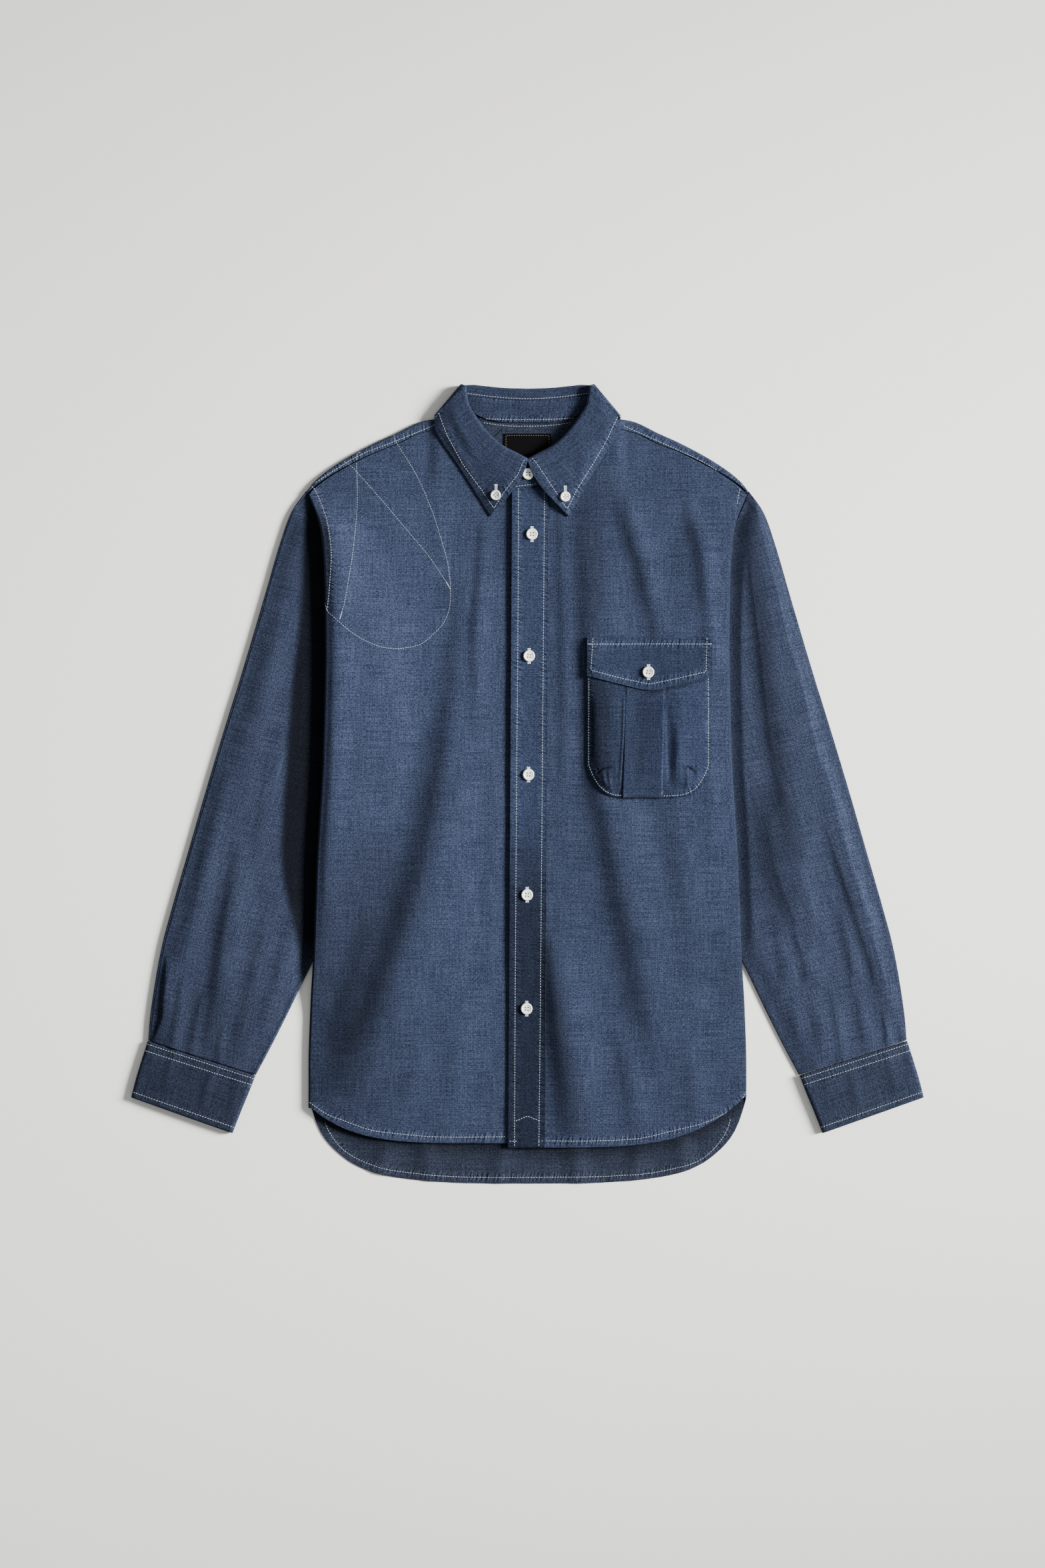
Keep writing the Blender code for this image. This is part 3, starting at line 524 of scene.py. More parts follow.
def sewn(name, carriers, rows, pitch=STITCH_PITCH, length=STITCH_LENGTH, width=STITCH_WIDTH,
         paint=white_thread, straight=False):
    """Rows of stitches in one mesh: each stitch is a small barrel that follows the cloth."""
    trees = surface_of(*carriers)
    form = bmesh.new()
    bmesh.ops.create_uvsphere(form, u_segments=6, v_segments=3, radius=0.5)
    barrel = np.array([tuple(vertex.co) for vertex in form.verts])
    faces = [[vertex.index for vertex in face.verts] for face in form.faces]
    form.free()
    points, polygons = [], []
    for row in rows:
        places = even_path(row, pitch) if straight else smooth_path(row, pitch)
        for start, end in zip(places[:-1], places[1:]):
            middle = (start + end) / 2
            found = drop(trees, *middle)
            if found is None:
                continue
            place, normal = found
            run = Vector((end[0] - start[0], end[1] - start[1], 0)).normalized()
            run = (run - normal * run.dot(normal)).normalized()
            side = normal.cross(run)
            axes = np.array([side * width, normal * width * STITCH_DEPTH, run * length]) * MM
            centre = np.array(place + normal * STITCH_RISE * MM)
            first = len(points) * len(barrel)
            points.append(barrel @ axes + centre)
            polygons += [[first + index for index in face] for face in faces]
    mesh = bpy.data.meshes.new(name)
    mesh.from_pydata(np.concatenate(points), [], polygons)
    mesh.materials.append(paint)
    mesh.shade_smooth()
    made = link_object(name, mesh)
    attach(made, "root")
    return made


def front_hem(values, across):
    return values.middle + values.rise * across**values.power


def front_foot(x):
    """Where the hem of the fronts lies."""
    half = np.abs(x) / FRONT_HALF
    return np.where(np.asarray(x) < 0, front_hem(HEM_RIGHT, half), front_hem(HEM_LEFT, half))


def back_shape(u, v):
    roll = ROLL_COLUMNS / BACK_COLUMNS
    flat = np.clip((u - roll) / (1 - 2 * roll), 0, 1) * 2 - 1
    past = np.maximum(np.maximum(roll - u, u - 1 + roll) / roll, 0)
    across = np.where(flat == 0, 1e-9, flat)
    v = tight(v, BACK_ROWS, 0.0008)
    level = BACK_LEVEL + (YOKE_SEAM - SEAM - BACK_LEVEL) * v
    hem = read(BACK_HEM, "y", np.abs(across)) - BACK_LEVEL + ROLL_HEM * past * (across > 0)
    y = level + hem * smooth((BACK_BEND - level) / (BACK_BEND - BACK_LEVEL))

    def underside(px, py):
        tail = smooth((TAIL_TOP - py) / TAIL_RUN)
        return lift(px, py) + np.maximum(crease_height(TAIL_CREASES, px, py), 0) * tail
    x, z, turned = body_point(across, past * ROLL_DEGREES, y, underside, True)
    # painted shadow on the tail beside the hems of the fronts
    beside_hem = np.abs(y - front_foot(x)) / HEM_SHADE_RUN
    return x, y, z, x + turned, y, HEM_SHADE * np.exp(-beside_hem**2)


BACK_STITCHES = ((-201.0, -335.6), (-195.7, -346.8), (-185.1, -360.7), (-171.3, -370.6), (-156.1, -377.2),
                 (-138.3, -382.5), (-110.6, -386.4), (-80.2, -389.1), (-35.3, -390.4), (59.1, -389.7),
                 (91.4, -388.4), (123.1, -385.8), (152.1, -379.8), (168.0, -374.6), (179.2, -367.3),
                 (190.4, -355.4), (198.3, -342.2), (201.0, -332.3))
back = cloth("back_cloth", BACK_COLUMNS, BACK_ROWS, back_shape, face_paint, inside_paint,
             seams=(BACK_STITCHES,), flip=True)
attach(back, "root")
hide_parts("back")
back_sewing = sewn("back_hem_stitches", [back], [BACK_STITCHES])


# ---- The yoke ----------------------------------------------------------------------------------
# One piece over both shoulders: it carries on from the back, folds forward along the shoulder line
# and ends in a narrow strip sewn to the fronts. Its inside shows in the neck.
YOKE_RADIUS, WRAP_START, WRAP_RUN = 2.4, 2.0, 11.0
YOKE_COLUMNS, YOKE_ROWS = 160, 44
YOKE_EDGE = 20.0               # the last stretch has the finer half of the rows
YOKE_INSET = 0.6               # its ends stay inside the armhole seams
Shoulder = namedtuple("Shoulder", "half y strip")
SHOULDER = (
    Shoulder(70.5, 369.5, 9), Shoulder(88, 362, 10), Shoulder(104, 359, 11), Shoulder(130, 347, 10.5),
    Shoulder(152, 337, 9), Shoulder(188, 317, 7), Shoulder(211, 299.5, 5), Shoulder(219, 289.5, 2.5),
)
Neck = namedtuple("Neck", "half y")
BACK_NECK = (
    Neck(0, 361.5), Neck(22, 361.8), Neck(44, 366), Neck(56, 369.5), Neck(64, 370.3), Neck(70.5, 369.5),
)
SHOULDER_TIP = BODY_SIDE[-1]


def yoke_shape(u, v):
    across = (u * 2 - 1) * (SHOULDER_TIP.half - YOKE_INSET)
    half = np.abs(across)
    crest = read(SHOULDER, "y", half) - YOKE_RADIUS
    wrap = math.pi * YOKE_RADIUS + read(SHOULDER, "strip", half) - YOKE_RADIUS
    beyond = half - SHOULDER[0].half + WRAP_START
    end = np.where(beyond < 0, read(BACK_NECK, "y", half), crest + wrap * smooth(beyond / WRAP_RUN))
    coarse = np.clip(v * 2, 0, 1)
    fine = np.clip(v * 2 - 1, 0, 1)
    along = YOKE_SEAM + (end - YOKE_EDGE - YOKE_SEAM) * coarse + YOKE_EDGE * fine
    narrow = np.where(along < SHOULDER_TIP.y, read(BODY_SIDE, "half", along) / SHOULDER_TIP.half, 1.0)
    x = across * narrow
    under = lift(x, np.minimum(along, crest))
    past = np.maximum(along - crest, 0)
    angle = np.minimum(past / YOKE_RADIUS, math.pi)
    flat_run = np.maximum(past - math.pi * YOKE_RADIUS, 0)
    y = np.where(past > 0, crest + YOKE_RADIUS * np.sin(angle) - flat_run, along)
    z = under + YOKE_RADIUS * (1 - np.cos(angle)) * (past > 0)
    return x, y, z, x, along, 0.0


YOKE_ROWS_OF_STITCHES = (
    ((-91.4, 355.3), (-132.3, 338.6), (-169.3, 323.6), (-210.0, 298.2)),
    ((94.7, 354.6), (132.0, 338.0), (164.0, 323.4), (181.2, 314.2), (200.3, 301.8), (211.0, 293.4)),
)
yoke = cloth("yoke_cloth", YOKE_COLUMNS, YOKE_ROWS, yoke_shape, face_paint, inside_paint,
             seams=YOKE_ROWS_OF_STITCHES, flip=True)
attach(yoke, "root")
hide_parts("yoke")
yoke_sewing = sewn("yoke_stitches", [yoke], YOKE_ROWS_OF_STITCHES)


# ---- The fronts --------------------------------------------------------------------------------
# Two chambray panels over the back, joined to it at the side folds and to the yoke at the shoulders,
# with curved double-turned hems. They lie in soft vertical folds.
YOKE_GAP = 0.15
FRONT_COLUMNS, FRONT_ROWS = 88, 224
FRONT_LEVELS = (-360.0, 300.0)
FRONT_HEM_BEND, FRONT_TOP_BEND = -218.0, 200.0
FRONT_NECK = (Neck(9, 296), Neck(14, 296), Neck(30, 302), Neck(44, 314), Neck(56, 330), Neck(64, 346),
              Neck(70, 358))
RIGHT_START, LEFT_START = 0.042, 0.072
HEM_FOLD, HEM_RAISE, HEM_STEP = 7.0, 0.45, 1.6  # the turned hem is thicker
CRISP, CRISP_STEP = 0.009, 0.0025      # a front's first columns lie close to its edge
QUIET, QUIET_TOP, QUIET_RUN = 0.8, 262.0, 26.0  # the folds die out below the neck

# Folds of the fronts, top to foot: a path, widths at its left and right at both ends, and a height.
FRONT_CREASES = (
    Crease(((-60, 210), (-65, 138), (-73, 65), (-81, 8), (-92, -48), (-105, -104), (-121, -153), (-145, -217),
            (-172, -274), (-196, -330)), (13, 24), (32, 44), 5.0),
    Crease(((-43, 262), (-46, 202), (-51, 146), (-49, 60)), (5, 6), (9, 12), 1.9),
    Crease(((-88, 300), (-84, 230), (-78, 170)), (16, 18), (8, 10), 0.9),
    Crease(((-30, 40), (-34, -80), (-40, -200)), (9, 10), (12, 12), 0.9),
    Crease(((-126, 110), (-132, 10), (-144, -90)), (12, 14), (16, 20), 1.3),
    Crease(((-160, 60), (-166, -60), (-178, -150)), (10, 12), (14, 16), 0.9),
    Crease(((-150, -120), (-168, -190), (-190, -262)), (10, 13), (12, 16), 2.2),
    Crease(((-56, -190), (-70, -270), (-82, -350)), (12, 14), (16, 18), 1.1),
    Crease(((-104, -250), (-116, -300), (-126, -350)), (9, 10), (12, 14), 1.0),
    Crease(((58, 296), (60, 251), (64, 146), (72, 73), (77, -8), (86, -56), (96, -113), (107, -161),
            (121, -217), (137, -290)), (14, 17), (34, 36), 4.6),
    Crease(((24, -150), (28, -200), (33, -250), (41, -300), (50, -362)), (9, 16), (24, 28), 5.4),
    Crease(((84, 312), (96, 272), (115, 218), (128, 162), (132, 130)), (9, 10), (13, 14), 2.8),
    Crease(((150, 300), (163, 262), (174, 226), (181, 160), (184, 110)), (7, 9), (9, 10), 2.2),
    Crease(((33, 285), (36, 170), (38, 80), (36, -20)), (5, 7), (9, 11), 1.4),
    Crease(((140, -10), (156, -100), (170, -230)), (14, 18), (14, 20), 1.8),
    Crease(((176, 80), (182, 0), (184, -90)), (8, 9), (9, 10), 1.1),
    Crease(((92, -240), (104, -300), (110, -352)), (9, 10), (12, 14), 1.6),
    Crease(((160, -250), (166, -300), (168, -340)), (8, 9), (10, 10), 1.1),
)
# Painted shade (below zero) and painted light (above zero) on the fronts, in the same form as the folds.
FRONT_PAINTED_SHADE_AND_LIGHT = (
    Crease(((-120, 350), (-112, 180), (-118, 20)), (60, 50), (50, 46), 0.25),
    Crease(((-140, -40), (-168, -180), (-184, -345)), (46, 60), (28, 40), -0.46),
    Crease(((-46, 60), (-52, -150), (-56, -345)), (22, 34), (22, 26), 0.16),
    Crease(((58, 320), (62, 240), (64, 130)), (14, 14), (18, 16), -0.34),
    Crease(((54, 150), (60, 60), (66, -40)), (12, 12), (16, 12), -0.24),
    Crease(((172, 330), (178, 120), (180, -180)), (26, 30), (26, 30), 0.12),
    Crease(((-80, 80), (-90, 8), (-114, -104), (-155, -217), (-199, -306)), (12, 16), (12, 16), -0.30),
    Crease(((20, -140), (28, -234), (44, -322), (50, -365)), (9, 14), (11, 16), -0.46),
    Crease(((72, -20), (84, -90), (98, -161), (114, -250)), (10, 12), (12, 14), -0.30),
    Crease(((84, 305), (104, 232), (118, 165)), (9, 9), (9, 9), -0.28),
    Crease(((150, 320), (168, 240), (176, 160)), (8, 8), (8, 8), -0.18),
)
SIDE_PAINTED_SHADE, SIDE_DEGREES = -0.45, 30.0          # painted shade darkens the rolls of the side folds


def front_top(x, y):
    """Height of the fronts' outer face."""
    turned = HEM_RAISE * smooth((front_foot(x) + HEM_FOLD - y) / HEM_STEP)
    kept = 1 - QUIET * smooth((y - QUIET_TOP) / QUIET_RUN)
    return lift(x, y, FRONT_NECK_RUN) + height(x, y) + crease_height(FRONT_CREASES, x, y) * kept + turned


def front_edge(across):
    """Upper edge of a front: its neckline, then the yoke seam out to the armhole."""
    half = across * SHOULDER_TIP.half
    seam = read(SHOULDER, "y", half) - read(SHOULDER, "strip", half) - YOKE_GAP
    return np.where(half < FRONT_NECK[-1].half, read(FRONT_NECK, "y", half), seam)


def front_shape(side, start, hem):
    def shape(u, v):
        roll = ROLL_COLUMNS / FRONT_COLUMNS
        u = u if side > 0 else 1 - u
        share = np.clip(u / (1 - roll), 0, 1)
        inner = np.clip(share - CRISP, CRISP_STEP, 1) / (1 - CRISP)
        share = np.where(share < 0.5 / FRONT_COLUMNS, 0.0, inner)
        share = np.where(u >= 1 - roll - 1e-9, 1.0, np.minimum(share, 1.0))
        across = side * (start + (1 - start) * share)
        degrees = np.maximum((u - 1 + roll) / roll, 0) * ROLL_DEGREES
        v = tight(v, FRONT_ROWS, 0.0008)
        low, high = FRONT_LEVELS
        level = low + (high - low) * v
        to_hem = smooth((FRONT_HEM_BEND - level) / (FRONT_HEM_BEND - low))
        to_top = smooth((level - FRONT_TOP_BEND) / (high - FRONT_TOP_BEND))
        out = np.abs(across)
        y = level + (front_hem(hem, out) - low) * to_hem + (front_edge(out) - high) * to_top
        x, z, turned = body_point(across, degrees, y, front_top, False)
        # painted light and shade of the fronts, and painted shade on their side folds
        painted_light_and_shade = crease_height(FRONT_PAINTED_SHADE_AND_LIGHT, x, y) + SIDE_PAINTED_SHADE * smooth(degrees / SIDE_DEGREES)
        return x, y, z, x + turned, y, painted_light_and_shade
    return shape


ARMHOLE_RIGHT = ((-214.2, 294.7), (-209.6, 289.4), (-203.0, 273.6), (-197.7, 257.7), (-195.0, 241.9),
                 (-193.7, 224.1), (-195.0, 203.0), (-196.4, 185.1), (-198.3, 170.6))
ARMHOLE_LEFT = ((213.8, 299.3), (210.2, 290.7), (208.2, 281.5), (207.6, 276.2))
PATCH_ROUND = ((-132.3, 348.2), (-132.3, 344.2), (-128.4, 335.6), (-109.2, 303.9), (-94.7, 270.3),
               (-85.5, 241.9), (-78.9, 217.5), (-76.2, 192.4), (-77.5, 173.2), (-83.5, 158.7),
               (-93.4, 148.2), (-105.3, 138.3), (-121.8, 134.3), (-132.3, 133.7), (-146.2, 135.6),
               (-162.0, 142.2), (-174.6, 150.2), (-187.1, 160.7), (-193.7, 166.7), (-197.7, 170.6),
               (-201.0, 181.2))
PATCH_SLANT = ((-182.5, 319.1), (-177.2, 316.5), (-167.3, 306.6), (-146.2, 282.8), (-121.8, 253.8),
               (-100.0, 228.0), (-86.1, 208.2), (-76.2, 192.4))
PATCH_UPRIGHT = ((-166.0, 328.4), (-169.3, 322.4), (-168.6, 291.4), (-169.3, 265.0), (-172.6, 229.4),
                 (-176.6, 203.0), (-180.5, 179.8), (-185.8, 162.0))
HEM_STITCHES_RIGHT = ((-216.2, -315.2), (-199.0, -327.0), (-181.8, -333.6), (-164.0, -340.2),
                      (-148.8, -344.2), (-125.7, -346.8), (-95.4, -349.5), (-57.8, -350.1), (-21.4, -349.6))
HEM_STITCHES_LEFT = ((217.0, -304.5), (210.9, -314.5), (203.0, -321.1), (191.7, -328.4), (171.3, -336.9),
                     (138.9, -344.9), (115.2, -350.5), (91.4, -352.8), (59.1, -353.8), (17.6, -353.8))
PATCH_TACKS = (((-80.6, 199.6), (-76.4, 192.6)), ((-183.2, 169.4), (-185.4, 162.4)))

front_right = cloth("front_right_cloth", FRONT_COLUMNS, FRONT_ROWS, front_shape(-1, RIGHT_START, HEM_RIGHT),
                    face_paint, inside_paint, seams=(HEM_STITCHES_RIGHT, ARMHOLE_RIGHT))
front_left = cloth("front_left_cloth", FRONT_COLUMNS, FRONT_ROWS, front_shape(1, LEFT_START, HEM_LEFT),
                   face_paint, inside_paint, seams=(HEM_STITCHES_LEFT, ARMHOLE_LEFT))
right_sewing = sewn("front_right_stitches", [front_right, yoke],
                    [HEM_STITCHES_RIGHT, ARMHOLE_RIGHT])
patch_sewing = sewn("shoulder_patch_stitches", [front_right, yoke], [PATCH_ROUND, PATCH_SLANT, PATCH_UPRIGHT],
                    pitch=2.4, length=1.9, width=0.38)
tack_sewing = sewn("shoulder_patch_tacks", [front_right], PATCH_TACKS, pitch=1.0, length=1.6, width=0.7)
left_sewing = sewn("front_left_stitches", [front_left, yoke], [HEM_STITCHES_LEFT, ARMHOLE_LEFT])
for piece, node, threads, area in (
    (front_right, "front_right", [right_sewing, patch_sewing, tack_sewing], 0.137),
    (front_left, "front_left", [left_sewing], 0.130),
):
    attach(piece, "root")
    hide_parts(node)


# ---- The sleeves and cuffs ---------------------------------------------------------------------
# Each sleeve is a flattened tube of chambray that starts under the body's side fold. It is pleated
# into a double cuff with two rows of stitches along its top and one along its edge.
Section = namedtuple("Section", "outer_x outer_y inner_x inner_y height")
SLEEVE = (
    Section(219.4, 290.0, 165.0, 164.0, 4.0), Section(234.0, 269.0, 164.0, 153.0, 4.8),
    Section(246.4, 234.6, 162.4, 141.0, 5.4), Section(257.9, 195.0, 160.4, 126.0, 5.4),
    Section(269.5, 155.4, 159.7, 109.0, 5.4), Section(283.3, 109.2, 162.4, 73.0, 5.4),
    Section(301.8, 49.8, 168.3, 17.0, 5.4), Section(319.6, -9.6, 177.5, -43.0, 5.4),
    Section(336.8, -69.0, 190.7, -105.0, 5.4), Section(352.0, -121.8, 206.6, -161.0, 5.4),
    Section(362.5, -161.4, 225.1, -201.6, 5.4), Section(369.8, -201.0, 240.4, -233.3, 5.4),
    Section(374.6, -236.0, 257.0, -266.0, 5.2), Section(375.9, -254.2, 269.2, -288.6, 5.0),
)
CUFF = (
    Section(376.3, -254.8, 269.4, -289.2, 6.2), Section(382.5, -274.0, 277.0, -308.5, 6.4),
    Section(388.0, -292.0, 285.0, -328.0, 6.4), Section(392.8, -310.5, 292.2, -346.2, 6.2),
)
SLEEVE_COLUMNS, SLEEVE_ROWS, CUFF_COLUMNS, CUFF_ROWS = 176, 176, 96, 26
# the right cuff, away from the light, gets painted shade
CUFF_WALL, CUFF_PAINTED_SHADE = 1.5, -0.22
RIM_HEIGHT, CROWN, CROWN_RUN = 4.0, 2.6, 24.0  # a sleeve's edges are lower than its middle
UNDER_GAP = 0.7                # the tucked sleeve stays clear of the body
LOWEST, LOWEST_TUCKED = 2.4, 1.9               # least heights of their upper faces
EDGE_EASE, INNER_EASE = 7.0, 9.0               # the folds die out at their edges
STRIP_DIP, STRIP_RUN, STRIP_EASE = 3.0, 24.0, 6.0      # the right sleeve sinks beside the raised side
DIP_FOOT, DIP_RUN = -250.0, 120.0
RISE_BESIDE, BESIDE_RUN, TUCKED_FOOT = 4.5, 22.0, -245.0      # the left one comes up from under the body
TUCKED_TOP_RUN, TUCKED_FOOT_RUN, RIM_LEFT = 30.0, 60.0, 2.3
# Painted shade on the sleeves: a strip beside the body, where its raised side casts shadow, a band above
# the right cuff, and the left sleeve's outer edge, which faces the light. The cloth is also darker along
# the felled seam of the inner edge.
STRIP_FADE, STRIP_TOP, STRIP_TOP_RUN, STRIP_FOOT, STRIP_FOOT_RUN = 9.0, 294.0, 14.0, -205.0, 60.0
STRIP_PAINTED_SHADOW, STRIP_PAINTED_SHADOW_LEFT, STRIP_LEFT = 0.85, 0.25, 12.0
FELLED, FELLED_IN, FELLED_WIDE = -0.32, 2.4, 1.3
NEAR_CUFF, NEAR_CUFF_TOP, NEAR_CUFF_RUN = -0.20, -170.0, 70.0
SLEEVE_RIM_PAINTED_SHADE, RIM_TONE_RUN = -0.24, 15.0
Strip = namedtuple("Strip", "y reach")
STRIP = (Strip(-200, 222), Strip(-150, 230), Strip(-72, 244), Strip(8, 240), Strip(89, 234), Strip(183, 224),
         Strip(250, 221.5), Strip(285, 218))
SLEEVE_RIGHT_CREASES = (
    Crease(((-357, -170), (-360, -210), (-361.4, -232), (-366, -244), (-372, -258)), (1.9, 2.0), (10, 13), 2.4),
    Crease(((-282, -60), (-299, -153), (-306, -205), (-316, -262)), (9, 9), (16, 18), 3.2),
    Crease(((-240, 170), (-262, 80), (-284, -30)), (12, 14), (10, 12), 1.5),
    Crease(((-296, 20), (-320, -90), (-338, -180)), (9, 9), (12, 12), 1.6),
    Crease(((-256, -130), (-272, -204), (-288, -270)), (8, 8), (12, 14), 1.7),
    Crease(((-340, -190), (-347, -236), (-352, -270)), (4, 5), (6, 7), 1.7),
    Crease(((-320, -206), (-328, -240), (-334, -276)), (4, 5), (5, 6), 1.1),
    Crease(((-228, -120), (-246, -190), (-264, -250)), (7, 8), (8, 9), 1.2),
    Crease(((-246, 60), (-258, -20), (-272, -90)), (9, 10), (9, 10), 1.0),
    Crease(((-300, -236), (-304, -256), (-307, -282)), (3, 4), (4, 5), 0.9),
)
SLEEVE_LEFT_CREASES = (
    Crease(((224, 300), (226, 262), (233, 202), (244, 130), (254, 49), (265, -8), (276, -80)),
           (11, 17), (18, 28), 5.2),
    Crease(((240, -20), (256, -80), (272, -130), (286, -170)), (14, 16), (16, 18), 3.4),
    Crease(((290, 20), (309, -64), (333, -137), (353, -201), (371, -250)), (8, 8), (12, 10), 3.4),
    Crease(((377, -214), (375, -240), (371, -266)), (3, 3), (3, 4), 1.4),
    Crease(((268, -140), (282, -200), (296, -276)), (7, 8), (10, 12), 1.9),
    Crease(((262, 130), (280, 40), (300, -40)), (9, 10), (10, 12), 1.4),
    Crease(((310, -120), (325, -190), (338, -270)), (6, 6), (9, 9), 2.0),
    Crease(((246, -130), (258, -190), (270, -250)), (7, 8), (8, 9), 1.4),
    Crease(((300, -200), (308, -240), (314, -280)), (4, 5), (6, 7), 1.3),
    Crease(((352, -222), (356, -244), (358, -270)), (3, 3), (4, 5), 1.2),
)


# Painted shade on the sleeves, along their folds and pleats and beside the body.
SLEEVE_RIGHT_PAINTED_SHADE = (
    Crease(((-359, -176), (-362, -214), (-364, -234), (-370, -248), (-375, -258)),
           (2.5, 3.0), (1.5, 1.8), -0.45),
    Crease(((-296, -100), (-307, -170), (-314, -250)), (12, 14), (12, 14), -0.20),
)
SLEEVE_LEFT_PAINTED_SHADE = (
    Crease(((221, 268), (226, 200), (237, 89), (249, 8), (262, -78)), (9, 10), (10, 12), -0.52),
    Crease(((224, 0), (238, -80), (254, -150)), (16, 18), (24, 26), -0.40),
    Crease(((300, -40), (325, -137), (345, -201), (368, -246)), (7, 8), (8, 9), -0.22),
)


def tube_shape(table, side, top):
    """Shape of a flattened tube: over the top from the outer edge and back below."""
    keyed = [Station(index, *section) for index, section in enumerate(table)]
    first, last = ((row.outer_x + row.inner_x, row.outer_y + row.inner_y) for row in (table[0], table[-1]))
    run = (Vector(last) - Vector(first)).normalized()

    def shape(u, v):
        key = v * (len(table) - 1)
        outer_x, outer_y, inner_x, inner_y, thick = (read(keyed, column, key) for column in Section._fields)
        length = np.hypot(inner_x - outer_x, inner_y - outer_y)
        way_x, way_y = (inner_x - outer_x) / length, (inner_y - outer_y) / length
        rim = top.rim(thick)
        radius = rim / 2
        top_end, turn_end, low_end = TUBE_TURNS
        over = np.clip(u / top_end, 0, 1)
        inner_turn = np.clip((u - top_end) / (turn_end - top_end), 0, 1)
        below = np.clip((u - turn_end) / (low_end - turn_end), 0, 1)
        outer_turn = np.clip((u - low_end) / (1 - low_end), 0, 1)
        flat = length - 2 * radius
        along = radius + flat * over + radius * np.sin(np.pi * inner_turn) * (inner_turn < 1)
        along = np.where(u > turn_end, radius + flat * (1 - below) - radius * np.sin(np.pi * outer_turn), along)
        x = side * (outer_x + way_x * along)
        y = outer_y + way_y * along
        z = radius + radius * np.cos(np.pi * inner_turn)
        z = np.where(u > low_end, radius - radius * np.cos(np.pi * outer_turn), z)
        raised = top.height(x, y, along, length, rim)
        z = np.where(u < top_end, raised, z)
        around = np.where(u < turn_end, along, 2 * length - along)
        down = (side * x - table[0].outer_x) * run.x + (y - table[0].outer_y) * run.y
        return x, y, z, around, -down, np.where(u < top_end, top.fade(x, y, along, length), 0.0)
    return shape


Station = namedtuple("Station", ("key",) + Section._fields)
# a tube's top: its rim height, its raised face, and the painted shade on that face
Top = namedtuple("Top", "rim height fade")
TUBE_TURNS = (0.56, 0.60, 0.96)        # shares of the ring: top, inner turn, underside, outer turn


def sleeve_top(side, creases, painted_shade_paths):
    def raised(x, y, along, length, rim):
        crown = CROWN * smooth(along / CROWN_RUN) * smooth((length - along) / CROWN_RUN)
        ends = smooth(along / EDGE_EASE) * smooth((length - along) / INNER_EASE)
        z = rim + crown + crease_height(creases, x, y) * ends
        half = read(BODY_SIDE, "half", y)
        if side < 0:
            dip = smooth((half + STRIP_RUN - np.abs(x)) / STRIP_RUN) * smooth((y - DIP_FOOT) / DIP_RUN)
            return np.maximum(z - STRIP_DIP * dip * smooth((length - along) / STRIP_EASE), LOWEST)
        shade = lift(side * np.minimum(np.abs(x), half), y) - UNDER_GAP
        room = shade + RISE_BESIDE * smooth((np.abs(x) - half) / BESIDE_RUN)
        tucked = smooth((TUCK_TOP - y) / TUCKED_TOP_RUN) * smooth((y - TUCKED_FOOT) / TUCKED_FOOT_RUN)
        under = np.minimum(z, room * tucked + z * (1 - tucked))
        return np.maximum(np.where(tucked > 0, under, z), LOWEST_TUCKED)

    def rim(thick):
        return np.minimum(thick, RIM_HEIGHT if side < 0 else RIM_LEFT)

    # painted shade on a sleeve's top: the strip in the body's shadow, the band above the right cuff or the lit
    # outer rim
    def fade(x, y, along, length):
        reach = read(STRIP, "reach", y) if side < 0 else read(BODY_SIDE, "half", y) + STRIP_LEFT
        ends = smooth((y - STRIP_FOOT) / STRIP_FOOT_RUN) * smooth((STRIP_TOP - y) / STRIP_TOP_RUN)
        strip = -(STRIP_PAINTED_SHADOW if side < 0 else STRIP_PAINTED_SHADOW_LEFT) * smooth((reach - np.abs(x)) / STRIP_FADE + 0.5)
        felled = FELLED * np.exp(-(((length - along - FELLED_IN) / FELLED_WIDE) ** 2))
        if side < 0:
            own = NEAR_CUFF * smooth((NEAR_CUFF_TOP - y) / NEAR_CUFF_RUN)
        else:
            own = SLEEVE_RIM_PAINTED_SHADE * (1 - smooth(along / RIM_TONE_RUN))
        return strip * ends + felled + own + crease_height(painted_shade_paths, x, y)
    return Top(rim, raised, fade)


CUFF_CREASES = (
    Crease(((-300, -270), (-310, -284), (-318, -302), (-323, -324)), (3, 4), (4, 5), 1.1),
    Crease(((-346, -262), (-353, -276), (-359, -304)), (4, 5), (5, 6), 0.7),
    Crease(((-280, -284), (-288, -306), (-296, -336)), (5, 5), (6, 6), 0.6),
    Crease(((314, -274), (320, -290), (330, -322)), (4, 5), (5, 6), 0.8),
    Crease(((352, -262), (360, -284), (368, -310)), (5, 6), (6, 7), 0.6),
)


CUFF_EASE, CUFF_CROWN, CUFF_CROWN_RUN, CUFF_RIM = 12.0, 0.5, 30.0, 0.4


def cuff_top(side):
    def raised(x, y, along, length, rim):
        ends = smooth(along / CUFF_EASE) * smooth((length - along) / CUFF_EASE)
        crown = CUFF_CROWN * smooth(along / CUFF_CROWN_RUN) * smooth((length - along) / CUFF_CROWN_RUN)
        return rim + crown + crease_height(CUFF_CREASES, x, y) * ends
    return Top(lambda thick: thick - CUFF_RIM, raised, lambda x, y, along, length: CUFF_PAINTED_SHADE * (side < 0))


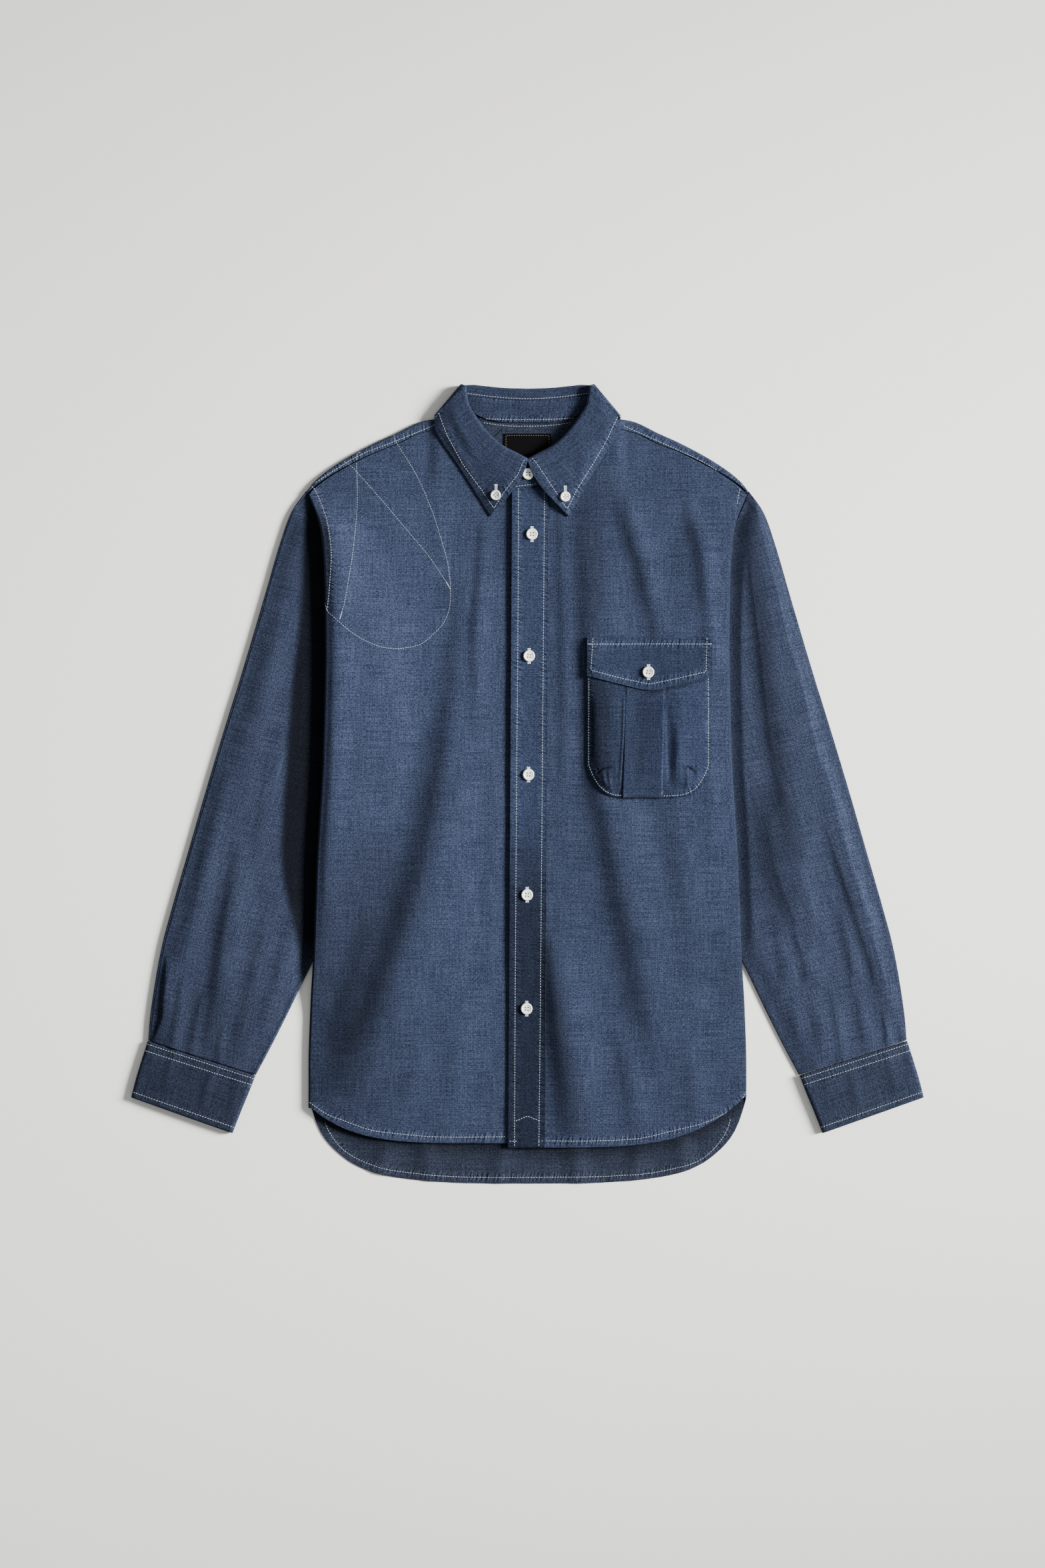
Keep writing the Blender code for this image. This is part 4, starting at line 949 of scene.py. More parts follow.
sleeve_paint = chambray_paint("chambray_sleeve", (0.0176, 0.0222, 0.0400))
cuff_paint = chambray_paint("chambray_cuff", (0.0132, 0.0166, 0.0294), pucker=0.6)
CUFF_ROWS_OF_STITCHES = (
    ((-376.8, -257.8), (-270.8, -292.1)), ((-379.0, -264.2), (-273.4, -298.1)),
    ((-391.0, -305.2), (-290.0, -340.4)),
)
for side, word, creases, painted_shade_paths in (
    (-1, "right", SLEEVE_RIGHT_CREASES, SLEEVE_RIGHT_PAINTED_SHADE),
    (1, "left", SLEEVE_LEFT_CREASES, SLEEVE_LEFT_PAINTED_SHADE),
):
    rows = [[(-side * x, y) for x, y in row] for row in CUFF_ROWS_OF_STITCHES]
    sleeve = cloth("sleeve_" + word + "_cloth", SLEEVE_COLUMNS, SLEEVE_ROWS,
                   tube_shape(SLEEVE, side, sleeve_top(side, creases, painted_shade_paths)), sleeve_paint, inside_paint,
                   closed=True, flip=side < 0)
    cuff = cloth("cuff_" + word + "_cloth", CUFF_COLUMNS, CUFF_ROWS,
                 tube_shape(CUFF, side, cuff_top(side)), cuff_paint, inside_paint, wall=CUFF_WALL, seams=rows,
                 closed=True, flip=side < 0)
    cuff_sewing = sewn("cuff_" + word + "_stitches", [cuff], rows, straight=True)
    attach(sleeve, "root")
    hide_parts("sleeve_" + word)
    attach(cuff, "root")
    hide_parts("cuff_" + word)


# ---- The placket -------------------------------------------------------------------------------
# A folded strip of chambray down the left front, lapped over the right one, with a row of stitches
# near each edge and a stitched point at its foot.
PLACKET_TOP, PLACKET_FOOT, PLACKET_WIDTH = 293.8, -360.3, 36.5
PLACKET_LEFT_TOP, PLACKET_LEFT_FOOT = -15.5, -19.5
PLACKET_PROUD, FREE_SHARE = 1.7, 0.8           # the free edge stands off the right front
PLACKET_LOW, LOW_FOOT, LOW_RUN = 0.25, -270.0, 220.0   # but less at its foot
Wave = namedtuple("Wave", "height run start")
PLACKET_WAVES = (Wave(0.125, 31.0, 0.0), Wave(0.1, 13.7, 1.0))
PLACKET_WALL = 1.1
PLACKET_END = 14.0             # its top lies flat, sewn into the collar stand
PLACKET_PAINTED_SHADE, DEEP_TOP, DEEP_RUN = -0.55, -10.0, 120.0         # painted shade darkens its lower half
SEAM_PAINTED_SHADE, SEAM_START, SEAM_RUN = -0.40, 0.97, 0.02            # and its sewn edge, which faces the light
PLACKET_COLUMNS, PLACKET_ROWS = 26, 220


def placket_left(y):
    slant = PLACKET_LEFT_FOOT - PLACKET_LEFT_TOP
    return PLACKET_LEFT_TOP + slant * (PLACKET_TOP - y) / (PLACKET_TOP - PLACKET_FOOT)


def placket_shape(u, v):
    u, v = tight(u, PLACKET_COLUMNS, 0.012), tight(v, PLACKET_ROWS, 0.0006)
    y = PLACKET_FOOT + (PLACKET_TOP - PLACKET_FOOT) * v
    x = placket_left(y) + PLACKET_WIDTH * u
    waves = sum(wave.height * np.sin(y / wave.run + wave.start) for wave in PLACKET_WAVES)
    sewn_in = 1 - smooth((y - PLACKET_TOP + PLACKET_END) / PLACKET_END)
    proud = PLACKET_PROUD * (PLACKET_LOW + (1 - PLACKET_LOW) * smooth((y - LOW_FOOT) / LOW_RUN))
    z = front_top(x, y) + SEAM + PLACKET_WALL + (proud + waves) * smooth(1 - u / FREE_SHARE) * sewn_in
    # painted shade on the lower half and the sewn edge
    lower = 1 + PLACKET_PAINTED_SHADE * smooth((DEEP_TOP - y) / DEEP_RUN)
    return x, y, z, x, y, lower * (1 + SEAM_PAINTED_SHADE * smooth((u - SEAM_START) / SEAM_RUN)) - 1


PLACKET_STITCHES = (
    ((-9.0, 293.0), (-9.6, 150.0), (-10.9, 0.0), (-12.2, -200.0), (-12.9, -359.0)),
    ((16.8, 291.4), (15.7, 150.0), (14.5, 0.0), (12.8, -200.0), (11.2, -359.0)),
)
PLACKET_HEM = (((-18.4, -353.9), (-10.4, -353.9)), ((9.6, -353.8), (16.2, -353.8)))
PLACKET_POINT = ((-12.2, -334.3), (-0.3, -329.0), (12.2, -334.0))
placket_paint = chambray_paint("chambray_placket", (0.0136, 0.0184, 0.0360))
placket = cloth("placket_cloth", PLACKET_COLUMNS, PLACKET_ROWS, placket_shape, placket_paint, inside_paint,
                wall=PLACKET_WALL, seams=PLACKET_STITCHES)
placket_sewing = sewn("placket_stitches", [placket], PLACKET_STITCHES)
point_sewing = sewn("placket_point_stitches", [placket], [PLACKET_POINT, *PLACKET_HEM], straight=True)
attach(placket, "root")
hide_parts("placket")


# ---- The pocket and its flap -------------------------------------------------------------------
# A round-cornered patch pocket on the left chest with a wide box pleat and two small darts at its
# foot, under a pointed flap that buttons down.
POCKET_LEFT, POCKET_RIGHT = 58.6, 181.0
POCKET_TOP, POCKET_FOOT, POCKET_ROUND, POCKET_BEND = 131.0, -14.2, 32.0, 5.5
PLEAT_LEFT, PLEAT_LEFT_SLANT = 99.6, 5.4
PLEAT_RIGHT, PLEAT_RIGHT_SLANT, PLEAT_SPREAD = 135.5, 3.0, 0.9
PLEAT_RISE_TOP, PLEAT_RISE_FOOT = 0.45, 1.5    # the pleat stands open towards its foot
UNDER_FLAP = 92.0              # the pocket lies flat above this
# What the pocket rises by, and how soon: by the share of its width, above its foot and below the flap.
POCKET_EASE, EASE_ACROSS = 0.3, 0.04
POCKET_FULL, FULL_ACROSS, FULL_UP, FULL_DOWN = 1.6, 0.12, 12.0, 14.0
FULLEST, FULLEST_RUN = 60.0, 70.0
FOLD_ACROSS, FOLD_UP, FOLD_DOWN = 0.05, 4.0, 8.0
POCKET_WALL = 0.9
FLAP_LEFT, FLAP_RIGHT = 58.6, 182.6
FLAP_TOP, FLAP_SIDE, FLAP_POINT = 144.9, 106.4, 90.8
FLAP_BLUNT, FLAP_SEWN = 0.01, 11.0             # of its point; its top is sewn flat
FLAP_CLEAR, FLAP_SPREAD = 0.2, 14.0            # over the pocket; it bridges the pleat's edges
FLAP_BOW, FLAP_BOWS, FLAP_BOW_START, FLAP_BOW_RUN = 0.45, 9.0, 0.6, 8.0
GATHER_RISE, GATHER_BASE, GATHER_IN = 0.09, 1.2, 3.0   # of the gathers beside its stitches
TOP_GATHERS, EDGE_GATHERS, EDGE_SHARE, EDGE_SHIFT = 3.2, 4.0, 0.7, 40.0
POCKET_COLUMNS, POCKET_ROWS, FLAP_COLUMNS, FLAP_ROWS = 200, 170, 200, 44
POCKET_MIDDLE, POCKET_HALF = (POCKET_LEFT + POCKET_RIGHT) / 2, (POCKET_RIGHT - POCKET_LEFT) / 2
POCKET_INSET = 2.1             # of the stitches from the edge
DARTS = (((68.0, 15.6), (70.3, 12.3), (69.2, 10.9), (73.6, 14.6), (84.5, 16.8)),
         ((151.1, 17.8), (154.4, 14.6), (157.7, 16.8), (164.2, 12.3), (165.7, 9.1)))
POCKET_CREASES = tuple(Crease(path, (1.1, 1.1), (1.1, 1.1), -1.0) for path in DARTS) + (
    Crease(((96, 96), (94.6, 50), (91, -8)), (1.5, 1.6), (1.2, 1.4), 0.95),
    Crease(((138.6, 76), (139.2, 30), (141, -6)), (2.2, 2.6), (5, 6), -1.3),
    Crease(((74, 12), (76, 4), (80, -6)), (2.0, 2.4), (2.0, 2.4), 0.9),
    Crease(((80, 14), (81, 4), (83, -8)), (1.6, 2.0), (2.0, 2.2), 0.9),
    Crease(((150, 60), (149, 30), (146, 0)), (4, 5), (9, 10), 1.2),
    Crease(((158, 12), (159, 4), (157, -6)), (2.4, 2.6), (3, 3), 0.8),
    Crease(((66, 92), (67, 50), (66, 18)), (3, 3), (6, 7), 0.8),
    Crease(((116, 40), (114, 10), (110, -12)), (3, 4), (4, 5), 0.4),
)
# Painted shade on the pocket in its darts, as a shadow under the flap's edge and over its left and middle, and
# painted light on its right.
POCKET_PAINTED_SHADE_AND_LIGHT = tuple(Crease(path, (1.2, 1.2), (1.2, 1.2), -0.5) for path in DARTS) + (
    Crease(((112, 88.0), (120.6, 89.6), (152, 96.8), (188, 105.6)), (1.8, 1.8), (1.8, 1.8), -0.55),
    Crease(((70, 150), (72, 60), (74, -30)), (20, 20), (15, 15), -0.58),
    Crease(((116, 110), (114, 50), (112, -30)), (16, 16), (16, 16), -0.30),
    Crease(((160, 140), (160, 60), (160, -30)), (18, 18), (30, 30), 0.24),
)
EDGE_PAINTED_SHADE, RIM_START, RIM_RUN = -0.6, 0.992, 0.006      # and painted shade along its edges


def pocket_foot(x):
    """The round-cornered lower edge."""
    return POCKET_FOOT + POCKET_ROUND * (np.abs(x - POCKET_MIDDLE) / POCKET_HALF) ** POCKET_BEND


def pocket_rise(x, y, spread):
    """Height of the pocket over the front: the box pleat between its two folded edges."""
    slot = (POCKET_TOP - y) / (POCKET_TOP - POCKET_FOOT)
    left = smooth((x - (PLEAT_LEFT - PLEAT_LEFT_SLANT * slot) + spread) / spread)
    right = smooth((PLEAT_RIGHT - PLEAT_RIGHT_SLANT * slot + spread - x) / spread)
    pleat = PLEAT_RISE_TOP + (PLEAT_RISE_FOOT - PLEAT_RISE_TOP) * smooth(slot)
    return SEAM + POCKET_WALL + pleat * left * right


def pocket_shape(u, v):
    u, v = tight(u, POCKET_COLUMNS, 0.004), tight(v, POCKET_ROWS, 0.004)
    x = POCKET_LEFT + (POCKET_RIGHT - POCKET_LEFT) * u
    foot = pocket_foot(x)
    y = foot + (POCKET_TOP - foot) * v
    inside = np.minimum(u, 1 - u)
    puffed = smooth(inside / FULL_ACROSS) * smooth((y - foot) / FULL_UP) * smooth((UNDER_FLAP - y) / FULL_DOWN)
    full = POCKET_FULL * puffed * (0.5 + 0.5 * smooth((FULLEST - y) / FULLEST_RUN))
    folds = crease_height(POCKET_CREASES, x, y) * smooth(inside / FOLD_ACROSS) * smooth((y - foot) / FOLD_UP)
    ease = POCKET_EASE * smooth(inside / EASE_ACROSS)
    rise = front_top(x, y) + ease + pocket_rise(x, y, PLEAT_SPREAD) + full
    z = rise + folds * smooth((UNDER_FLAP - y) / FOLD_DOWN)
    # painted shade along the pocket's edges
    rim = EDGE_PAINTED_SHADE * smooth((np.maximum(u, 1 - v) - RIM_START) / RIM_RUN)
    return x, y, z, x, y, crease_height(POCKET_PAINTED_SHADE_AND_LIGHT, x, y) + rim


def gathers(run, away, reach):
    """Small uneven gathers beside a row of stitches, by the length along it and the distance from it."""
    wave = np.sin(run * 1.75 + 1.4 * np.sin(run * 0.31)) + 0.7 * np.sin(run * 1.07 + 2.0)
    return wave * np.exp(-((away / reach) ** 2))


def flap_shape(u, v):
    middle, half = (FLAP_LEFT + FLAP_RIGHT) / 2, (FLAP_RIGHT - FLAP_LEFT) / 2
    u, v = tight(u, FLAP_COLUMNS, 0.004), tight(v, FLAP_ROWS, 0.010)
    across = u * 2 - 1
    x = middle + half * across
    foot = FLAP_POINT + (FLAP_SIDE - FLAP_POINT) * np.sqrt(across**2 + FLAP_BLUNT)
    y = foot + (FLAP_TOP - foot) * v
    over = smooth((FLAP_TOP - y) / FLAP_SEWN)
    rise = SEAM + POCKET_WALL + (pocket_rise(x, y, FLAP_SPREAD) + POCKET_EASE + FLAP_CLEAR) * over
    bow = FLAP_BOW * np.sin(u * FLAP_BOWS + FLAP_BOW_START) ** 2 * over * smooth((y - foot) / FLAP_BOW_RUN)
    gathered = gathers(x, y - FLAP_TOP + GATHER_IN, TOP_GATHERS)
    gathered = gathered + EDGE_SHARE * gathers(x + EDGE_SHIFT, y - foot - GATHER_IN, EDGE_GATHERS)
    # painted shade along the flap's edge
    rim = EDGE_PAINTED_SHADE * smooth((u - RIM_START) / RIM_RUN)
    return x, y, front_top(x, y) + rise + bow + GATHER_RISE * (gathered + GATHER_BASE), x, y, rim


def pocket_seam(side, inner):
    """Stitches just inside the pocket's edge, from under the flap round a lower corner to the pleat."""
    out = np.linspace(1.0, inner, 30)
    x = POCKET_MIDDLE + side * POCKET_HALF * out
    slope = side * POCKET_ROUND * POCKET_BEND * out ** (POCKET_BEND - 1) / POCKET_HALF
    scale = POCKET_INSET / np.hypot(slope, 1)
    round_part = list(zip(x - slope * scale, pocket_foot(x) + scale))
    return [(POCKET_MIDDLE + side * (POCKET_HALF - POCKET_INSET), 118.0)] + round_part


POCKET_STITCHES = (pocket_seam(-1, 0.43), pocket_seam(1, 0.23))
FLAP_TOP_STITCH = ((59.4, 137.9), (120.6, 138.2), (181.9, 137.9))
FLAP_EDGE_STITCH = ((64.7, 144.2), (63.6, 128.0), (62.6, 112.2), (92.0, 104.4), (120.5, 98.4), (148.0, 104.0),
                    (176.4, 110.6), (177.0, 128.0), (177.4, 144.2))
FLAP_TACKS = (((59.4, 138.0), (63.0, 138.0)), ((178.2, 138.0), (181.9, 138.0)))
pocket_paint = chambray_paint("chambray_pocket", (0.0132, 0.0178, 0.0345))
pocket = cloth("pocket_cloth", POCKET_COLUMNS, POCKET_ROWS, pocket_shape, pocket_paint, inside_paint,
               wall=POCKET_WALL, seams=POCKET_STITCHES)
flap = cloth("pocket_flap_cloth", FLAP_COLUMNS, FLAP_ROWS, flap_shape, pocket_paint, inside_paint,
             wall=POCKET_WALL, seams=(FLAP_TOP_STITCH, FLAP_EDGE_STITCH))
pocket_sewing = sewn("pocket_stitches", [pocket], POCKET_STITCHES, width=0.38, straight=True)
flap_sewing = sewn("pocket_flap_stitches", [flap], [FLAP_TOP_STITCH, FLAP_EDGE_STITCH], straight=True)
flap_tacks = sewn("pocket_flap_tacks", [flap], FLAP_TACKS, pitch=1.1, length=1.5, width=0.9, straight=True)
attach(pocket, "root")
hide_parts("pocket")
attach(flap, "root")
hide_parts("pocket_flap")


# ---- The label and its backing -----------------------------------------------------------------
# A plain black woven label with a stitched border, on a backing of the shirt's own cloth with clipped
# upper corners, sewn to the inside of the yoke.
PATCH_HALF, PATCH_TOP, PATCH_FOOT, PATCH_CLIP = 34.0, 351.5, 313.0, 9.0
LABEL_HALF, LABEL_TOP, LABEL_FOOT = 23.4, 346.8, 314.0
LABEL_WALL, PATCH_WALL, LABEL_LIFT, PATCH_COLUMNS, PATCH_ROWS = 0.45, 0.3, 0.12, 36, 22
TAPE_TONES, TAPE_RATE, TAPE_RISE = ((0.0010, 0.0009, 0.0012), (0.0048, 0.0044, 0.0050)), (0.5, 3.0), 0.06


def label_shape(half, top, foot, clip, layer):
    def shape(u, v):
        u, v = tight(u, PATCH_COLUMNS, 0.006), tight(v, PATCH_ROWS, 0.010)
        y = foot + (top - foot) * v
        reach = half - np.maximum(y - (top - clip), 0) if clip else half
        x = (u * 2 - 1) * reach
        z = lift(x, y) + WALL + layer * (LABEL_LIFT + LABEL_WALL)
        return x, y, z, x, y, 0.0
    return shape


def label_paint(name):
    """Black satin-woven tape."""
    paint, tree, shader = start_paint(name)
    rows = flat_noise(tree, add_node(tree, "UVMap", {}, uv_map="weave").outputs[0], TAPE_RATE, 2.0)
    bump = add_node(tree, "Bump", {"Strength": 1.0, "Distance": TAPE_RISE * MM, "Height": rows}).outputs[0]
    tree.links.new(blend(tree, rows, *TAPE_TONES), shader.inputs["Base Color"])
    tree.links.new(bump, shader.inputs["Normal"])
    shader.inputs["Roughness"].default_value = 0.95
    shader.inputs["Specular IOR Level"].default_value = 0.03
    return paint


LABEL_BORDER = ((-21.4, 316.0), (-21.4, 344.8), (21.4, 344.8), (21.4, 316.0))
backing = cloth("label_patch_cloth", PATCH_COLUMNS, PATCH_ROWS,
                label_shape(PATCH_HALF, PATCH_TOP, PATCH_FOOT, PATCH_CLIP, 0.75), inside_paint, inside_paint,
                wall=PATCH_WALL)
tape_paint = label_paint("label_black")
label = cloth("neck_label_cloth", PATCH_COLUMNS, PATCH_ROWS,
              label_shape(LABEL_HALF, LABEL_TOP, LABEL_FOOT, 0, 2), tape_paint, tape_paint, wall=LABEL_WALL)
tan_thread = thread_paint("thread_tan", (0.17, 0.12, 0.07))
label_sewing = sewn("label_stitches", [label], [LABEL_BORDER], pitch=2.4, length=1.5, width=0.5,
                    paint=tan_thread, straight=True)
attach(backing, "root")
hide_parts("label_patch")
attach(label, "root")
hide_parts("neck_label")


# ---- The collar --------------------------------------------------------------------------------
# A button-down collar: the stand is sewn round the neck and buttons at the front, and the leaf folds
# over it along the roll and comes to two points. Both are double cloth over a firm interlining.
Collar = namedtuple("Collar", "key roll_x roll_y edge_x edge_y base_x base_y radius thick turn bow ease")
BEND_Z = 6.0
LEAF_EASE_END, LEAF_EASE_RUN = 0.97, 0.1       # its wrinkles die out at the roll and the edge
STEP_KEYS = 3                  # stations over which the lapped end steps up
BEND_OUT = Vector((0.757, 0.653, 0))
COLLAR_ROWS = (
    (0, 389.0, 0, 331.5, 0, 357.5, 3.6, 4.8, -90, 0, 0),
    (22, 389.8, 32, 333.5, 22, 358, 3.6, 4.8, -90, 0, 0),
    (44, 391.9, 62, 341, 42, 361.5, 3.6, 4.8, -90, 0, 0),
    (55, 393.1, 77, 350.5, 54, 367, 3.6, 4.8, -90, 0, 0),
    (62.0, 393.0, 87.4, 360.8, 67, 374, 3.6, 4.8, -90, 0, 0),
    (62.4, 391.6, 87.4, 360.4, 67, 374, 3.6, 4.8, -50, 0, 2.5),
    (62.5, 390.9, 87.6, 360.4, 67, 374, 3.6, 4.8, -17, 0, 5.0),
    (62.5, 390.8, 88.2, 360.6, 67, 374, 3.6, 4.8, 17, 0, 6.5),
    (62.5, 390.9, 89.8, 361.0, 67, 374, 3.6, 4.8, 50, 0, 6.5),
    (62.5, 391.4, 91.8, 361.2, 67, 374, 3.6, 4.8, 90, 0, 6.5),
    (60.5, 376.0, 92.0, 352.0, 69.0, 359.0, 3.8, 5.2, 90, 0, 6.5),
    (52.0, 360.5, 85.0, 338.6, 67.0, 343.5, 3.8, 5.4, 90, 0, 4),
    (38.5, 343.5, 71.0, 318.0, 59.0, 327.0, 3.9, 5.6, 90, 0, 2),
    (25.5, 332.0, 58.6, 298.0, 46.0, 311.5, 3.9, 6.0, 90, 0, 1),
    (12.5, 325.0, 48.0, 280.0, 31.0, 300.5, 3.6, 6.4, 90, 1.5, 1),
    (0.3, 318.3, 38.5, 264.5, 14.0, 294.8, 3.6, 6.8, 90, 4.2, 1),
)
COLLAR_HALF = tuple(Collar(index, *row) for index, row in enumerate(COLLAR_ROWS))
COLLAR_LAST = len(COLLAR_HALF) - 1
COLLAR_WALL = 1.3
TIP_SHIFT = 1.9                # the two points don't sit quite evenly
STAND_DEPTH, STAND_STEP, LEAF_FALL = 9.8, 2.5, 2.6
STAND_SINK = 1.6               # the stand goes down to the yoke where it is sewn to it
Lap = namedtuple("Lap", "roll_x base_x base_y")
LAP_UNDER, LAP_OVER = Lap(-3.0, 7.0, 294.8), Lap(-12.4, -13.8, 292.2)
LAP_DEPTH, LAP_KEYS = 26.0, 1.6
LEAF_COLUMNS, LEAF_ROWS, STAND_ROWS = 240, 40, 14
BOW_NEAR, BOW_EASE = 1.6, 1.2    # the front edges curve most near the neck
LEAF_TURNS = (0.10, 0.24)      # shares of the leaf's depth: inner part and roll
COLLAR_CREASES = (
    Crease(((-76, 372), (-64, 346), (-48, 322)), (4, 5), (5, 6), 1.0),
    Crease(((-84, 352), (-66, 322), (-52, 300)), (4, 4), (5, 5), 0.8),
    Crease(((70, 380), (78, 360), (74, 342)), (5, 5), (5, 5), 0.5),
    Crease(((52, 330), (54, 312), (50, 292)), (5, 5), (6, 6), 0.6),
    Crease(((30, 318), (40, 300), (44, 284)), (4, 4), (5, 5), 0.5),
)


def collar_row(key, side=0):
    """A station of the collar between its rows, as plain numbers."""
    row = Collar(key, *(float(read(COLLAR_HALF, column, key)) for column in Collar._fields[1:]))
    return row._replace(edge_x=row.edge_x + side * TIP_SHIFT * float(smooth((key - COLLAR_LAST + 4) / 4)))


def collar_point(row, target_x, target_y, depth, offset, side):
    """Point at a depth from the roll towards a target, at an offset from the pair's middle."""
    roll = Vector((row.roll_x, row.roll_y, 0))
    reach = Vector((target_x, target_y, 0)) - roll
    direction = reach.normalized()
    turn = math.radians(row.turn)
    out = BEND_OUT * math.cos(turn) + Vector((0, 0, math.sin(turn)))
    point = roll + direction * depth + out * (row.radius + offset)
    sideways = Vector((-direction.y, direction.x, 0))
    share = depth / max(reach.length, 1)
    if 0 < share < 1:
        point -= sideways * row.bow * 4 * share * (1 - share) * (BOW_NEAR - BOW_EASE * share)
    return side * point.x, point.y, BEND_Z + point.z


def leaf_point(row, side, v):
    half = row.thick / 2
    inner_end, roll_end = LEAF_TURNS
    if v < inner_end:
        start = STAND_DEPTH - SEAM - row.ease
        x, y, z = collar_point(row, row.base_x, row.base_y, start * (1 - v / inner_end), -half, side)
        return x, y, z, start * (v / inner_end - 1)
    if v < roll_end:
        angle = math.pi * (v - inner_end) / (roll_end - inner_end)
        out, up = -half * math.sin(angle), -half * math.cos(angle)
        x, y, z = collar_point(row, row.edge_x, row.edge_y, out, up, side)
        return x, y, z, half * angle
    share = (v - roll_end) / (1 - roll_end)
    width = math.hypot(row.edge_x - row.roll_x, row.edge_y - row.roll_y)
    landing = float(front_top(side * row.edge_x, row.edge_y)) + SEAM + COLLAR_WALL - BEND_Z - row.radius
    fall = max(half - landing, 0) * max(math.sin(math.radians(row.turn)), 0) ** 2
    rise = half - fall * share**LEAF_FALL
    x, y, z = collar_point(row, row.edge_x, row.edge_y, width * share, rise, side)
    return x, y, z, half * math.pi + width * share


def around(middles, u):
    """Length of the collar at its stations, along the middle of its width."""
    levels = sorted(middles)
    steps = np.linalg.norm(np.diff([middles[level] for level in levels], axis=0), axis=1)
    runs = dict(zip(levels, np.concatenate([[0], np.cumsum(steps)])))
    return np.array([runs[level] for level in np.round(u, 9)])


def leaf_shape(u, v):
    """Stations run from the right point round the back of the neck to the left point."""
    v = tight(v, LEAF_ROWS, 0.006)
    u = tight(u, LEAF_COLUMNS, 0.0012)
    levels = np.unique(np.round(u, 9))
    sides = {level: 1 if level > 0.5 else -1 for level in levels}
    rows = {level: (collar_row(abs(level * 2 - 1) * COLLAR_LAST, side), side) for level, side in sides.items()}
    points = np.array([leaf_point(*rows[level], depth) for level, depth in zip(np.round(u, 9), v)])
    x, y, z, down = points.T
    along = around({level: (side * (row.roll_x + row.edge_x) / 2, (row.roll_y + row.edge_y) / 2)
                    for level, (row, side) in rows.items()}, u)
    laid = smooth((v - LEAF_TURNS[1]) / LEAF_EASE_RUN) * smooth((LEAF_EASE_END - v) / LEAF_EASE_RUN)
    laid = laid * (z > BEND_Z)
    z = z + crease_height(COLLAR_CREASES, x, y) * laid
    return x, y, z, along, down, 0.0


def stand_shape(u, v):
    u = tight(u, LEAF_COLUMNS, 0.0012)
    last = COLLAR_HALF[-1]
    levels = np.unique(np.round(u, 9))
    reach = COLLAR_LAST + LAP_KEYS
    stations = {}
    for level in levels:
        key, side = abs(level * 2 - 1) * reach, 1 if level > 0.5 else -1
        row = collar_row(min(key, COLLAR_LAST))
        past = max(key - COLLAR_LAST, 0) / LAP_KEYS
        if past:
            lap = LAP_OVER if side > 0 else LAP_UNDER
            row = row._replace(roll_x=last.roll_x + (lap.roll_x - last.roll_x) * past,
                               roll_y=last.roll_y + (lap.base_y + LAP_DEPTH - last.roll_y) * past,
                               base_x=last.base_x + (lap.base_x - last.base_x) * past,
                               base_y=last.base_y + (lap.base_y - last.base_y) * past)
        stepped = float(smooth((key - COLLAR_LAST + STEP_KEYS) / STEP_KEYS))
        step = STAND_STEP * stepped if side > 0 else 0.0
        stations[level] = (row, side, step)
    points = []
    for level, share in zip(np.round(u, 9), v):
        row, side, step = stations[level]
        length = math.hypot(row.base_x - row.roll_x, row.base_y - row.roll_y)
        depth = STAND_DEPTH + (length - STAND_DEPTH) * share
        x, y, z = collar_point(row, row.base_x, row.base_y, depth, -row.thick / 2, side)
        sunk = STAND_SINK * float(smooth(share)) * max(-math.sin(math.radians(row.turn)), 0)
        points.append((x, y, z + step - sunk, depth))
    x, y, z, depth = np.array(points).T
    along = around({level: (side * (row.roll_x + row.base_x) / 2, (row.roll_y + row.base_y) / 2)
                    for level, (row, side, _) in stations.items()}, u)
    return x, y, z, along, depth, 0.0


LEAF_STITCHES_RIGHT = ((-88.1, 367.3), (-80.2, 345.5), (-63.7, 315.2), (-45.2, 290.1), (-33.3, 272.3),
                       (-23.4, 288.1), (-9.6, 305.3), (-3.0, 320.4))
LEAF_STITCHES_LEFT = ((89.4, 363.3), (76.2, 335.6), (62.4, 312.5), (49.2, 291.4), (39.3, 271.6),
                      (24.1, 294.0), (8.9, 316.5), (4.3, 322.4))
STAND_FRONT = ((-12.2, 294.0), (9.4, 296.6))
STAND_UPPER = ((-60.0, 386.4), (-50.0, 385.2), (-40.0, 383.8), (-22.0, 382.0), (0.0, 381.2), (22.0, 382.0),
               (40.0, 383.8), (50.0, 385.2), (60.0, 386.4))
STAND_LOWER = ((-47.0, 361.6), (-24.0, 360.6), (0.0, 360.4), (24.0, 360.8), (46.0, 362.2))
NECK_STITCHES = ((-44.0, 357.6), (-22.0, 354.6), (0.0, 354.2), (22.0, 354.8), (43.0, 357.8))
# darker than the fronts: partly its double cloth, partly painted shade
collar_paint = chambray_paint("chambray_collar", (0.0140, 0.0184, 0.0345))
leaf = cloth("collar_leaf_cloth", LEAF_COLUMNS, LEAF_ROWS, leaf_shape, collar_paint, collar_paint,
             wall=COLLAR_WALL, seams=(LEAF_STITCHES_RIGHT, LEAF_STITCHES_LEFT))
stand = cloth("collar_stand_cloth", LEAF_COLUMNS, STAND_ROWS, stand_shape, collar_paint, collar_paint,
              wall=COLLAR_WALL, seams=(STAND_UPPER, STAND_LOWER))
leaf_sewing = sewn("collar_leaf_stitches", [leaf], [LEAF_STITCHES_RIGHT, LEAF_STITCHES_LEFT], straight=True)
stand_sewing = sewn("collar_stand_stitches", [stand, leaf, yoke],
                    [STAND_UPPER, STAND_LOWER, NECK_STITCHES, STAND_FRONT])
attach(leaf, "root")
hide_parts("collar_leaf")
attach(stand, "root")
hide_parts("collar_stand")


